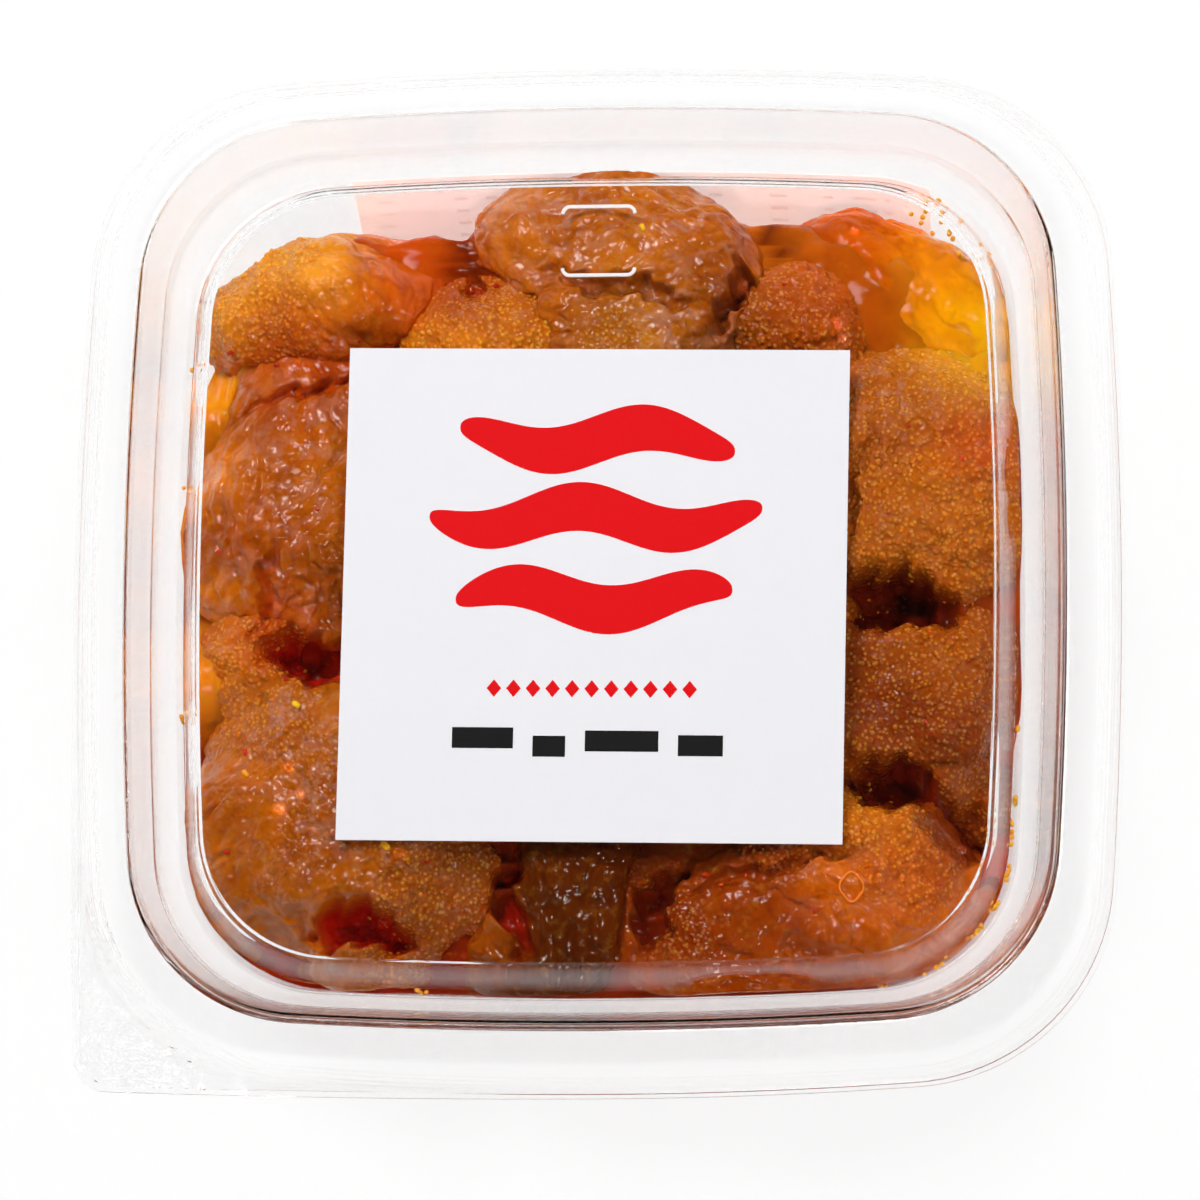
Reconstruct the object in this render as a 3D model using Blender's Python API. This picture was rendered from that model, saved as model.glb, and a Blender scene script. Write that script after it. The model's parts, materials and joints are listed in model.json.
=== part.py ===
"""Seasoned cod roe packed in a square clear tub with a clear lid, a lid label and a back label.

The tub stands on the XY plane with its centre over the origin, and the back label faces +Y.
Both walls are lofted through bowed, round-cornered squares. The roe sacs grow outward from their
centres until they meet each other, the tub or the lid. Every length is in metres.
"""

import math

import bmesh
import bpy
from mathutils import Matrix, Vector, noise

MM = 0.001

# The rim's plan: bowed sides, and corners that get rounder towards the outer lip
RIM_HALF = 65.0 * MM
SIDE_BOW_RADIUS = 580.0 * MM
RIM_CORNER_RADIUS = 26.0 * MM
CORNER_RADIUS_SLOPE = 0.6
CORNER_STEPS = 8
SIDE_STEPS = 2
HALVINGS = 40

# Heights over the table, and the wall that both the tub and the lid are drawn from
LIP_HEIGHT = 30.0 * MM
WALL = 0.5 * MM
FIT_GAP = 0.3 * MM

# The lid: centre panel, groove that plugs into the tub, ridge, flange and skirt. Each bend between
# them is cut off by a short slanted run.
BEND = 0.8 * MM
TIGHT_BEND = 0.2 * MM
PANEL_HALF = 49.2 * MM
PANEL_RISE = 4.0 * MM
GROOVE_HALF = 52.0 * MM
GROOVE_DROP = 1.6 * MM
SEAL_STEP_HALF = 54.7 * MM
SEAL_STEP_RISE = 2.5 * MM
RIDGE_HALF = 57.4 * MM
RIDGE_RISE = 8.8 * MM
RIDGE_TOP = 1.1 * MM
FLANGE_HALF = 62.6 * MM
FLANGE_RISE = 4.9 * MM
SKIRT_HALF = 64.2 * MM
SKIRT_FOOT = 0.4 * MM
SKIRT_FLARE = 0.35 * MM

# The pull tab at the front left corner, a squarer run of the lip on the lid and on the tub
TAB_BOW_RADIUS = 1600.0 * MM
TAB_CORNER_RADIUS = 4.0 * MM
TUB_LIP_INSET = 0.8 * MM

# The tub below the rim
STACK_LEDGE_HALF = 52.3 * MM
STACK_LEDGE_DROP = 3.6 * MM
BASE_HALF = 46.4 * MM
BASE_FILLET = 3.0 * MM
PLUG_SEAT = 0.4 * MM
MITRE_LIMIT = 0.5

# Labels
LABEL_SIDE = 61.9 * MM
LABEL_CENTRE = (-0.1 * MM, -3.2 * MM)
LABEL_TURN = math.radians(-0.9)
PAPER = 0.2 * MM
BACK_LABEL_LEFT = -31.5 * MM
BACK_LABEL_RIGHT = 41.0 * MM
BACK_LABEL_TOP = 25.5 * MM
BACK_LABEL_FOOT = 7.0 * MM
BACK_LABEL_COLUMNS = 14

# The heap of roe
ROE_GAP = 0.45 * MM
BOXINESS = 2.3
MEETING_SHARPNESS = 18.0
FOLD_DEPTH = 0.18
FOLD_SCALE = 1.7
CRAG_DEPTH = 0.05
CRAG_SCALE = 4.5
MARCH_STEP = 0.5 * MM
MARCH_HALVINGS = 12
FOLD_MARGIN = 1.3
BEHIND = 0.25
SMOOTH_ROUNDS = 3
SPIKE_LIMIT = 1.07
PULL_ROUNDS = 40
PULL = 0.98

# The sacs, from the one that lies on top down to the ones that are wedged under their neighbours.
# Each has its centre above the table and its half lengths in mm, its turn about Z in degrees,
# the cuts of its mesh and its colour.
ROE_SACS = (
    ("roe_back_crumb", (-14, 30, 20), (10, 7.5, 12), 0, 5, "gold"),
    ("roe_back_right_lump", (24.5, 32, 18), (8, 8, 13), 0, 5, "gold"),
    ("roe_left_crumb", (-42, -9, 16), (8, 6, 12), 0, 5, "amber"),
    ("roe_right_crumb", (43, -27, 15), (8, 6, 10), 0, 5, "gold"),
    ("roe_back_middle", (1.5, 36, 17.5), (18.5, 17, 16), 0, 8, "mauve"),
    ("roe_front_left", (-30.5, -30, 15.5), (22, 18, 17), -22, 8, "amber"),
    ("roe_front_right", (25, -39, 16), (25, 13.5, 15.5), 16, 8, "amber"),
    ("roe_right_middle", (34.5, 12.5, 16.5), (18.5, 18.5, 16), 10, 7, "gold"),
    ("roe_middle", (-1, -2, 16), (22.5, 20, 17.5), 20, 7, "ochre"),
    ("roe_left_middle", (-35, 9.5, 15.5), (15.5, 20, 16), -14, 7, "ochre"),
    ("roe_right_front", (35, -16, 16), (20, 16, 15), 22, 6, "gold"),
    ("roe_back_left", (-34, 31.5, 15), (17, 12.5, 15), 12, 7, "amber"),
    ("roe_front_middle", (-3, -37, 15), (21, 17, 16), 0, 7, "olive"),
    ("roe_back_right", (38, 37.5, 13), (21, 8, 13), -32, 6, "amber"),
)

COLOURS = {
    "clear": ((0.93, 0.95, 0.96), 0.08),
    "paper": ((0.90, 0.89, 0.92), 0.55),
    "pink_paper": ((0.86, 0.76, 0.74), 0.6),
    "mauve": ((0.33, 0.13, 0.07), 0.25),
    "amber": ((0.55, 0.17, 0.02), 0.3),
    "ochre": ((0.42, 0.16, 0.04), 0.3),
    "gold": ((0.55, 0.27, 0.08), 0.45),
    "olive": ((0.26, 0.12, 0.03), 0.3),
}


def material(name):
    """A Principled material of a named colour, made once."""
    found = bpy.data.materials.get(name)
    if found:
        return found
    colour, roughness = COLOURS[name]
    made = bpy.data.materials.new(name)
    made.use_nodes = True
    shader = made.node_tree.nodes["Principled BSDF"]
    shader.inputs["Base Color"].default_value = (*colour, 1.0)
    shader.inputs["Roughness"].default_value = roughness
    shader.inputs["Metallic"].default_value = 0.0
    if name == "clear":
        shader.inputs["Alpha"].default_value = 0.25
    return made


def add_object(name, form, colour, sharp_angle):
    """A named object from a closed bmesh, with its faces pointing out."""
    bmesh.ops.recalc_face_normals(form, faces=form.faces)
    mesh = bpy.data.meshes.new(name)
    form.to_mesh(mesh)
    form.free()
    mesh.materials.append(material(colour))
    mesh.shade_smooth()
    mesh.set_sharp_from_angle(angle=math.radians(sharp_angle))
    obj = bpy.data.objects.new(name, mesh)
    bpy.context.scene.collection.objects.link(obj)
    return obj


def corner_radius(half):
    """The plan radius of the corners of a ring of this half width."""
    return RIM_CORNER_RADIUS - (RIM_HALF - half) * CORNER_RADIUS_SLOPE


def corner_centre(half, radius, bow):
    """How far out, on both axes, the centre of a corner lies whose arc meets both bowed sides."""
    back = bow - half
    return (math.sqrt(2 * (bow - radius) ** 2 - back**2) - back) / 2


def excess(x, y, half, radius, bow):
    """How far a point lies outside a bowed, round-cornered square, and negative inside it."""
    x, y = abs(x), abs(y)
    centre = corner_centre(half, radius, bow)
    turn = math.atan2(centre, centre + bow - half)
    lean = math.atan2(y - centre, x - centre)
    if x > centre and y > centre and turn < lean < math.pi / 2 - turn:
        return math.hypot(x - centre, y - centre) - radius
    return math.hypot(max(x, y) + bow - half, min(x, y)) - bow


def quarter(half):
    """The first quadrant of a ring, from the middle of the +X side to just before the +Y side."""
    radius = corner_radius(half)
    centre = corner_centre(half, radius, SIDE_BOW_RADIUS)
    back = SIDE_BOW_RADIUS - half
    turn = math.atan2(centre, centre + back)
    side = [turn * step / SIDE_STEPS for step in range(SIDE_STEPS)]
    points = [(SIDE_BOW_RADIUS * math.cos(a) - back, SIDE_BOW_RADIUS * math.sin(a)) for a in side]
    for step in range(CORNER_STEPS + 1):
        angle = turn + (math.pi / 2 - 2 * turn) * step / CORNER_STEPS
        points.append((centre + radius * math.cos(angle), centre + radius * math.sin(angle)))
    points += [(y, x) for x, y in reversed(points[1:SIDE_STEPS])]
    return points


def tab_quarter(half):
    """The same points as quarter, moved out along rays to the squarer outline of the tab."""
    radius = corner_radius(half)
    centre = corner_centre(half, radius, SIDE_BOW_RADIUS)
    points = []
    for x, y in quarter(half):
        from_x = min(x, centre)
        from_y = min(y, centre)
        step_x, step_y = x - from_x, y - from_y
        near, far = 0.5, 3.0
        for _ in range(HALVINGS):
            reach = (near + far) / 2
            reach_x, reach_y = from_x + step_x * reach, from_y + step_y * reach
            out = excess(reach_x, reach_y, half, TAB_CORNER_RADIUS, TAB_BOW_RADIUS)
            near, far = (reach, far) if out < 0 else (near, reach)
        points.append((from_x + step_x * near, from_y + step_y * near))
    return points


def ring(half, height, tab=False):
    """One closed ring of points, anticlockwise from above, squarer at the front left where tab is set."""
    plain = quarter(half)
    points = []
    for turns in range(4):
        source = tab_quarter(half) if tab and turns == 2 else plain
        cosine, sine = ((1, 0), (0, 1), (-1, 0), (0, -1))[turns]
        points += [Vector((x * cosine - y * sine, x * sine + y * cosine, height)) for x, y in source]
    return points


def loft(rings):
    """A closed bmesh through rings of equal length, with the first and last ring filled."""
    form = bmesh.new()
    loops = [[form.verts.new(point) for point in points] for points in rings]
    for lower, upper in zip(loops, loops[1:]):
        for index, vert in enumerate(lower):
            after = (index + 1) % len(lower)
            form.faces.new((vert, lower[after], upper[after], upper[index]))
    form.faces.new(loops[0])
    form.faces.new(loops[-1])
    return form


def offset_profile(profile, distance):
    """A profile of (half width, height) points moved sideways by a distance, below and outside it."""
    moved = []
    for index, point in enumerate(profile):
        here = Vector(point)
        normals = []
        for other in (index - 1, index):
            if 0 <= other and other + 1 < len(profile):
                run = Vector(profile[other + 1]) - Vector(profile[other])
                normals.append(Vector((run.y, -run.x)).normalized())
        mean = sum(normals, Vector((0, 0))).normalized()
        moved.append(tuple(here + mean * distance / max(MITRE_LIMIT, mean.dot(normals[0]))))
    return moved


def rim_profile():
    """The lid's upper face from the edge of the panel out to the lip, which the tub's rim follows."""
    steps = (
        (PANEL_HALF, PANEL_RISE),
        (PANEL_HALF + BEND, PANEL_RISE - BEND),
        (GROOVE_HALF - BEND, TIGHT_BEND - GROOVE_DROP),
        (GROOVE_HALF, -GROOVE_DROP),
        (GROOVE_HALF + BEND, TIGHT_BEND - GROOVE_DROP),
        (SEAL_STEP_HALF - TIGHT_BEND, SEAL_STEP_RISE - BEND),
        (SEAL_STEP_HALF + TIGHT_BEND, SEAL_STEP_RISE),
        (RIDGE_HALF - BEND, RIDGE_RISE - BEND),
        (RIDGE_HALF, RIDGE_RISE),
        (RIDGE_HALF + RIDGE_TOP, RIDGE_RISE - TIGHT_BEND),
        (FLANGE_HALF - BEND, FLANGE_RISE + BEND),
        (FLANGE_HALF, FLANGE_RISE - TIGHT_BEND),
        (SKIRT_HALF, SKIRT_FOOT),
        (SKIRT_HALF + SKIRT_FLARE, 0.0),
    )
    return [(half, LIP_HEIGHT + height) for half, height in steps]


def build_lid():
    """The clear lid: one thin wall, with the tab as the squarer corner of its lip."""
    upper = rim_profile()
    lower = offset_profile(upper, WALL)
    rings = [ring(*point) for point in upper]
    rings.append(ring(RIM_HALF, LIP_HEIGHT, tab=True))
    rings.append(ring(RIM_HALF, LIP_HEIGHT - WALL, tab=True))
    rings += [ring(*point) for point in reversed(lower)]
    return add_object("lid", loft(rings), "clear", 50)


def tub_inner_profile():
    """The tub's inner face from the edge of the floor up to the lip."""
    seat = offset_profile(rim_profile(), WALL + FIT_GAP)
    floor = WALL
    lean = (STACK_LEDGE_HALF - BASE_HALF) / (LIP_HEIGHT - STACK_LEDGE_DROP)
    foot = [
        (BASE_HALF - BASE_FILLET, floor),
        (BASE_HALF - 0.35 * BASE_FILLET, floor + 0.25 * BASE_FILLET),
        (BASE_HALF + lean * BASE_FILLET, floor + BASE_FILLET),
    ]
    ledge = [
        (STACK_LEDGE_HALF, LIP_HEIGHT - STACK_LEDGE_DROP),
        (seat[5][0] - PLUG_SEAT, seat[4][1] - PLUG_SEAT / 2),
    ]
    return foot + ledge + seat[5:]


def build_tub():
    """The clear tub: one thin wall from the floor to the lip that the lid closes over."""
    inner = tub_inner_profile()
    outer = offset_profile(inner, WALL)
    outer[0] = (outer[0][0], 0.0)
    tub_lip = RIM_HALF - TUB_LIP_INSET
    lip_top = inner[-1][1]
    rings = [ring(*point) for point in inner]
    rings.append(ring(tub_lip, lip_top, tab=True))
    rings.append(ring(tub_lip, lip_top - WALL, tab=True))
    rings += [ring(*point) for point in reversed(outer)]
    return add_object("tub", loft(rings), "clear", 50)


def half_width_at(profile, height):
    """The half width of a wall profile at a height, between its floor and its lip."""
    for (low_half, low), (high_half, high) in zip(profile, profile[1:]):
        if low <= height <= high and high > low:
            return low_half + (high_half - low_half) * (height - low) / (high - low)
    return profile[-1][0]


def build_lid_label():
    """The square paper label that lies on the panel."""
    form = bmesh.new()
    bmesh.ops.create_cube(form, size=1.0)
    bmesh.ops.scale(form, vec=(LABEL_SIDE, LABEL_SIDE, PAPER), verts=form.verts)
    label = add_object("lid_label", form, "paper", 30)
    height = LIP_HEIGHT + PANEL_RISE + FIT_GAP + PAPER / 2
    label.matrix_world = Matrix.Translation((*LABEL_CENTRE, height)) @ Matrix.Rotation(LABEL_TURN, 4, "Z")
    return label


def build_back_label():
    """The wide paper label round the back wall of the tub, bent to the wall's bow and lean."""
    outer = offset_profile(tub_inner_profile(), WALL)
    form = bmesh.new()
    rows = []
    for height in (BACK_LABEL_FOOT, BACK_LABEL_TOP):
        half = half_width_at(outer, height)
        lean = math.atan2(STACK_LEDGE_HALF - BASE_HALF, LIP_HEIGHT - STACK_LEDGE_DROP)
        for off in (FIT_GAP, FIT_GAP + PAPER):
            row = []
            for column in range(BACK_LABEL_COLUMNS + 1):
                x = BACK_LABEL_LEFT + (BACK_LABEL_RIGHT - BACK_LABEL_LEFT) * column / BACK_LABEL_COLUMNS
                low, high = 0.0, half + off
                for _ in range(HALVINGS):
                    y = (low + high) / 2
                    out = excess(x, y, half, corner_radius(half), SIDE_BOW_RADIUS) - off / math.cos(lean)
                    low, high = (y, high) if out < 0 else (low, y)
                row.append(form.verts.new((x, low, height)))
            rows.append(row)
    inner_foot, outer_foot, inner_top, outer_top = rows
    for column in range(BACK_LABEL_COLUMNS):
        for near, far in (
            (inner_foot, inner_top),
            (outer_top, outer_foot),
            (inner_top, outer_top),
            (outer_foot, inner_foot),
        ):
            form.faces.new((near[column], near[column + 1], far[column + 1], far[column]))
    for column in (0, BACK_LABEL_COLUMNS):
        form.faces.new((inner_foot[column], inner_top[column], outer_top[column], outer_foot[column]))
    return add_object("back_label", form, "pink_paper", 30)


class Sac:
    """One sac of roe: a boxy ellipsoid with folds, before it meets anything."""

    def __init__(self, order, centre, halves, turn):
        self.centre = Vector(centre) * MM
        self.halves = Vector(halves) * MM
        self.unturn = Matrix.Rotation(-math.radians(turn), 3, "Z")
        self.seed = Vector((order * 7.3, order * 3.1, order * 11.7))

    def radius(self, way):
        """The distance from the centre to the folded skin along a unit direction."""
        local = self.unturn @ way
        bare = sum(abs(local[axis] / self.halves[axis]) ** BOXINESS for axis in range(3)) ** (-1 / BOXINESS)
        fold = noise.noise(way * FOLD_SCALE + self.seed)
        crag = noise.noise(way * CRAG_SCALE + self.seed)
        return bare * (1 + FOLD_DEPTH * fold + CRAG_DEPTH * crag)

    def holds(self, point):
        """Whether a point lies in the sac or in the gap round it."""
        offset = point - self.centre
        length = offset.length
        near = length < max(self.halves) * FOLD_MARGIN + ROE_GAP
        return near and length < self.radius(offset / length) + ROE_GAP


def room_holds(point, wall):
    """Whether a point lies in the tub, clear of its floor, its wall and the lid's panel."""
    if not WALL + ROE_GAP < point.z < LIP_HEIGHT + PANEL_RISE - WALL - ROE_GAP:
        return False
    half = half_width_at(wall, max(point.z, wall[0][1])) - ROE_GAP
    return excess(point.x, point.y, half, corner_radius(half), SIDE_BOW_RADIUS) < 0


def first_stop(centre, way, longest, blocked):
    """How far a point goes from a centre before it is blocked, up to a longest way."""
    near, far = 0.0, MARCH_STEP
    while not blocked(centre + way * far):
        near, far = far, far + MARCH_STEP
        if near > longest:
            return longest
    for _ in range(MARCH_HALVINGS):
        reach = (near + far) / 2
        near, far = (near, reach) if blocked(centre + way * reach) else (reach, far)
    return near


def unit_sphere(cuts):
    """A bmesh sphere made from a cube with each edge cut into equal parts."""
    form = bmesh.new()
    bmesh.ops.create_cube(form, size=2.0)
    bmesh.ops.subdivide_edges(form, edges=form.edges, cuts=cuts - 1, use_grid_fill=True)
    for vert in form.verts:
        vert.co = Vector([math.tan(value * math.pi / 4) for value in vert.co]).normalized()
    return form


def grow(sac, cuts, above, wall):
    """A bmesh of one sac that fills its place under and between the sacs above it."""
    behind = []
    for other in above:
        toward = (other.centre - sac.centre).normalized()
        behind.append((toward, (other.centre - sac.centre).length - BEHIND * other.radius(-toward)))

    def blocked(point):
        offset = point - sac.centre
        past = any(offset.dot(toward) > limit for toward, limit in behind)
        return past or not room_holds(point, wall) or any(other.holds(point) for other in above)

    form = unit_sphere(cuts)
    for vert in form.verts:
        way = vert.co.normalized()
        skin = sac.radius(way)
        stop = first_stop(sac.centre, way, 2 * skin, blocked)
        reach = (skin**-MEETING_SHARPNESS + stop**-MEETING_SHARPNESS) ** (-1 / MEETING_SHARPNESS)
        vert.co = sac.centre + way * reach
    bmesh.ops.triangulate(form, faces=form.faces)
    flatten_spikes(form, sac.centre)
    pull_back(form, sac.centre, above)
    return form


def flatten_spikes(form, centre):
    """Lowers each point that stands out from its neighbours, so that a cut edge stays smooth."""
    for _ in range(SMOOTH_ROUNDS):
        reach = {vert: (vert.co - centre).length for vert in form.verts}
        for vert in form.verts:
            round_it = [reach[edge.other_vert(vert)] for edge in vert.link_edges]
            most = SPIKE_LIMIT * sum(round_it) / len(round_it)
            if reach[vert] > most:
                vert.co = centre + (vert.co - centre) * most / reach[vert]


def pull_back(form, centre, above):
    """Draws in the faces that a straight edge would lead through a sac above."""
    for _ in range(PULL_ROUNDS):
        deep = set()
        for face in form.faces:
            corners = [vert.co for vert in face.verts]
            probes = [face.calc_center_median()]
            probes += [(corners[index - 1] + corners[index]) / 2 for index in range(3)]
            if any(other.holds(probe) for probe in probes for other in above):
                deep.update(face.verts)
        if not deep:
            return
        for vert in deep:
            vert.co = centre + (vert.co - centre) * PULL


def build_roe():
    """The heap: every sac grown from its centre to its own skin or to what it meets first."""
    wall = [(BASE_HALF - BASE_FILLET, WALL)] + tub_inner_profile()[2:4]
    above = []
    for order, (name, centre, halves, turn, cuts, colour) in enumerate(ROE_SACS):
        sac = Sac(order, centre, halves, turn)
        add_object(name, grow(sac, cuts, above, wall), colour, 80)
        above.append(sac)


def main():
    for old in list(bpy.data.objects):
        bpy.data.objects.remove(old)
    build_tub()
    build_lid()
    build_lid_label()
    build_back_label()
    build_roe()


main()
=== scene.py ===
"""The looks of a clear square tub of seasoned cod roe: plastic, labels, sacs, marinade and loose eggs."""

import json
import math
import random

import bmesh
import bpy
import numpy as np
from mathutils import Matrix, Vector

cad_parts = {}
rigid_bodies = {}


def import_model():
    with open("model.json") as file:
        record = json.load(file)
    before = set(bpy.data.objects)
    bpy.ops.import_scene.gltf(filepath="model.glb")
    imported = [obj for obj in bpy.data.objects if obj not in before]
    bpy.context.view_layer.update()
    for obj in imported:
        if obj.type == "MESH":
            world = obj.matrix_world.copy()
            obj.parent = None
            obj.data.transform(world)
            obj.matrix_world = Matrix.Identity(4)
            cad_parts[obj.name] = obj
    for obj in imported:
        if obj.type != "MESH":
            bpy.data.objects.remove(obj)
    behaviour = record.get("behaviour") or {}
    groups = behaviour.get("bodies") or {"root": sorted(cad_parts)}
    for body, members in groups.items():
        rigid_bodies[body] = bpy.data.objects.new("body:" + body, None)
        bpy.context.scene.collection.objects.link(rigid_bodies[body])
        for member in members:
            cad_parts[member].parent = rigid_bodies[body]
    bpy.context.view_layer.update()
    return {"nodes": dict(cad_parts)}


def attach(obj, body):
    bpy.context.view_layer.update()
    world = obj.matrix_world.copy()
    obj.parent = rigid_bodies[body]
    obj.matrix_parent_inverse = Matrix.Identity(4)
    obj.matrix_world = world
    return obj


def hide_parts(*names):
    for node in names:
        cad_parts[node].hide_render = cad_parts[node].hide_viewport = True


for old in list(bpy.data.objects):
    bpy.data.objects.remove(old)
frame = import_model()

MM = 0.001

# The rim's plan and the wall, as in the solids
RIM_HALF = 65.0 * MM
SIDE_BOW_RADIUS = 580.0 * MM
RIM_CORNER_RADIUS = 26.0 * MM
CORNER_RADIUS_SLOPE = 0.6
TAB_BOW_RADIUS = 1600.0 * MM
TAB_CORNER_RADIUS = 4.0 * MM
TUB_LIP_INSET = 0.8 * MM
LIP_HEIGHT = 30.0 * MM
WALL = 0.5 * MM
FIT_GAP = 0.3 * MM
PANEL_TOP = 34.0 * MM
BASE_HALF = 46.4 * MM
BASE_FILLET = 3.0 * MM
LEDGE_HALF = 52.3 * MM
LEDGE_HEIGHT = 26.4 * MM

# How finely a quarter of a ring is divided, at its corner and at each side
CORNER_STEPS = 22
SIDE_STEPS = 10

# The lid's upper face, half width and height over the lip, from the panel out to the lip
RIM_FACE = np.array((
    (49.2, 4.0), (50.0, 3.2), (51.2, -1.4), (52.0, -1.6), (52.8, -1.4), (54.5, 1.7), (54.9, 2.5),
    (56.6, 8.0), (57.4, 8.8), (58.5, 8.6), (61.8, 5.7), (62.6, 4.7), (64.2, 0.4), (64.55, 0.0),
)) * MM + (0.0, LIP_HEIGHT)

# The plastic: a low index keeps its double walls as pale as they look
CLEAR_INDEX = 1.30
PEBBLED_INDEX = 1.38
PEBBLE = 1.6 * MM
PEBBLE_SPECK = 0.5 * MM

# The labels and their print
LABEL_CENTRE = (-0.1 * MM, -3.2 * MM)
LABEL_TURN = math.radians(-0.9)
LABEL_TOP = 34.5 * MM
INK = 0.02 * MM

# The lid's underside, the eggs' width and number, and the gap kept to the tub's wall
CONTACT_HEIGHT = 33.3 * MM
EGG = 0.66 * MM
EGGS_PER_AREA = 3.0e5
WALL_MARGIN = 0.12 * MM


# Helpers for shader and geometry nodes

def math_method(operation):
    """A method that adds a Math node to a value and any others."""
    return lambda value, *others: value.math(operation, *others)


class Value:
    """The output of a node. Python's operators on it add Math nodes."""

    def __init__(self, nodes, socket):
        self.nodes = nodes
        self.socket = socket

    def math(self, operation, *others):
        return self.nodes.add("ShaderNodeMath", dict(enumerate((self, *others))), operation=operation)

    __add__ = __radd__ = math_method("ADD")
    __mul__ = __rmul__ = math_method("MULTIPLY")
    __sub__ = math_method("SUBTRACT")
    __truediv__ = math_method("DIVIDE")
    __pow__ = math_method("POWER")
    least = math_method("MINIMUM")
    most = math_method("MAXIMUM")
    size = math_method("ABSOLUTE")

    def __rsub__(self, other):
        return self.nodes.add("ShaderNodeMath", {0: other, 1: self}, operation="SUBTRACT")

    def ramp(self, low, high):
        """0 at low, 1 at high and beyond, smooth between."""
        sockets = {"Value": self, "From Min": low, "From Max": high}
        return self.nodes.add("ShaderNodeMapRange", sockets, interpolation_type="SMOOTHSTEP")


class Nodes:
    """Adds nodes to one tree."""

    def __init__(self, tree):
        self.tree = tree

    def add(self, kind, sockets=None, output=0, **settings):
        """Adds a node, sets or links its sockets, and gives the output that is asked for."""
        node = self.tree.nodes.new(kind)
        for name, value in settings.items():
            setattr(node, name, value)
        for key, value in (sockets or {}).items():
            if isinstance(value, Value):
                self.tree.links.new(value.socket, node.inputs[key])
            else:
                node.inputs[key].default_value = value
        return Value(self, node.outputs[output]) if node.outputs else node

    def part(self, vector, axis):
        """One coordinate of a vector."""
        return self.add("ShaderNodeSeparateXYZ", {0: vector}, axis)

    def noise(self, place, scale, detail=2.0, roughness=0.5, output=0, warp=0.0):
        sockets = {"Vector": place, "Scale": scale, "Detail": detail, "Roughness": roughness}
        return self.add("ShaderNodeTexNoise", {**sockets, "Distortion": warp}, output)

    def cells(self, place, scale, feature="F1"):
        return self.add("ShaderNodeTexVoronoi", {"Vector": place, "Scale": scale}, feature=feature)

    def vector(self, operation, *vectors, **more):
        sockets = {**dict(enumerate(vectors)), **more}
        return self.add("ShaderNodeVectorMath", sockets, operation=operation)


class Shader(Nodes):
    """A new material and its nodes."""

    def __init__(self, name):
        self.material = bpy.data.materials.new(name)
        self.material.use_nodes = True
        super().__init__(self.material.node_tree)
        self.tree.nodes.clear()

    def place(self):
        return self.add("ShaderNodeTexCoord", output="Object")

    def painted(self, name, output="Fac"):
        """A mesh attribute."""
        return self.add("ShaderNodeAttribute", output=output, attribute_name=name)

    def mix(self, factor, first, second, blend="MIX"):
        """A mix of two colours."""
        first, second = ((*c, 1.0) if isinstance(c, tuple) else c for c in (first, second))
        sockets = {0: factor, 6: first, 7: second}
        return self.add("ShaderNodeMix", sockets, 2, data_type="RGBA", blend_type=blend)

    def times(self, first, second):
        """Two colours multiplied."""
        return self.mix(1.0, first, second, "MULTIPLY")

    def bump(self, height, strength, distance):
        return self.add("ShaderNodeBump", {"Height": height, "Strength": strength, "Distance": distance})

    def finish(self, shader):
        """Wires the shader to the output and gives the material."""
        self.add("ShaderNodeOutputMaterial", {"Surface": shader})
        return self.material

    def opaque(self, sockets):
        """Finishes the material with one shader."""
        return self.finish(self.add("ShaderNodeBsdfPrincipled", sockets))

    def fleshy(self, shade, rough, index, weight, radius, scale, **more):
        """Finishes a material that light gets into, by a weight, a radius for each colour and a scale."""
        return self.opaque({
            "Base Color": shade,
            "Roughness": rough,
            "IOR": index,
            "Subsurface Weight": weight,
            "Subsurface Radius": radius,
            "Subsurface Scale": scale * MM,
            **more,
        })

    def clear(self, sockets, colour, *rays):
        """Finishes a clear material that the named kinds of rays pass in a plain colour."""
        glass = self.add("ShaderNodeBsdfPrincipled", {**sockets, "Transmission Weight": 1.0})
        through = self.add("ShaderNodeBsdfTransparent", {"Color": (*colour, 1.0)})
        passed = [self.add("ShaderNodeLightPath", output=ray) for ray in rays]
        share = passed[0] if len(passed) == 1 else passed[0].most(passed[1])
        return self.finish(self.add("ShaderNodeMixShader", {0: share, 1: glass, 2: through}))


class Shape(Nodes):
    """A new geometry tree with named inputs of some kinds, and its nodes."""

    def __init__(self, name, inputs):
        super().__init__(bpy.data.node_groups.new(name, "GeometryNodeTree"))
        for label, kind in (("Geometry", "Geometry"), *inputs.items(), ("Material", "Material")):
            self.tree.interface.new_socket(label, in_out="INPUT", socket_type="NodeSocket" + kind)
        self.tree.interface.new_socket("Geometry", in_out="OUTPUT", socket_type="NodeSocketGeometry")
        group = self.tree.nodes.new("NodeGroupInput")
        self.given = {socket.name: Value(self, socket) for socket in group.outputs if socket.name}

    def weight(self, name):
        """A mesh attribute."""
        return self.add("GeometryNodeInputNamedAttribute", {"Name": name}, data_type="FLOAT")

    def store(self, geometry, name, value, domain="POINT"):
        sockets = {"Geometry": geometry, "Name": name, "Value": value}
        return self.add("GeometryNodeStoreNamedAttribute", sockets, data_type="FLOAT", domain=domain)

    def finish(self, geometry):
        """Ends the tree with real geometry in the given material."""
        real = self.add("GeometryNodeRealizeInstances", {"Geometry": geometry})
        real = self.add("GeometryNodeSetMaterial", {"Geometry": real, "Material": self.given["Material"]})
        self.add("NodeGroupOutput", {0: real})
        return self.tree


def applied(obj, **options):
    """Takes an object's modifiers off and gives its mesh as they left it."""
    bpy.context.view_layer.update()
    graph = bpy.context.evaluated_depsgraph_get()
    made = bpy.data.meshes.new_from_object(obj.evaluated_get(graph), depsgraph=graph, **options)
    obj.modifiers.clear()
    return made


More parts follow.
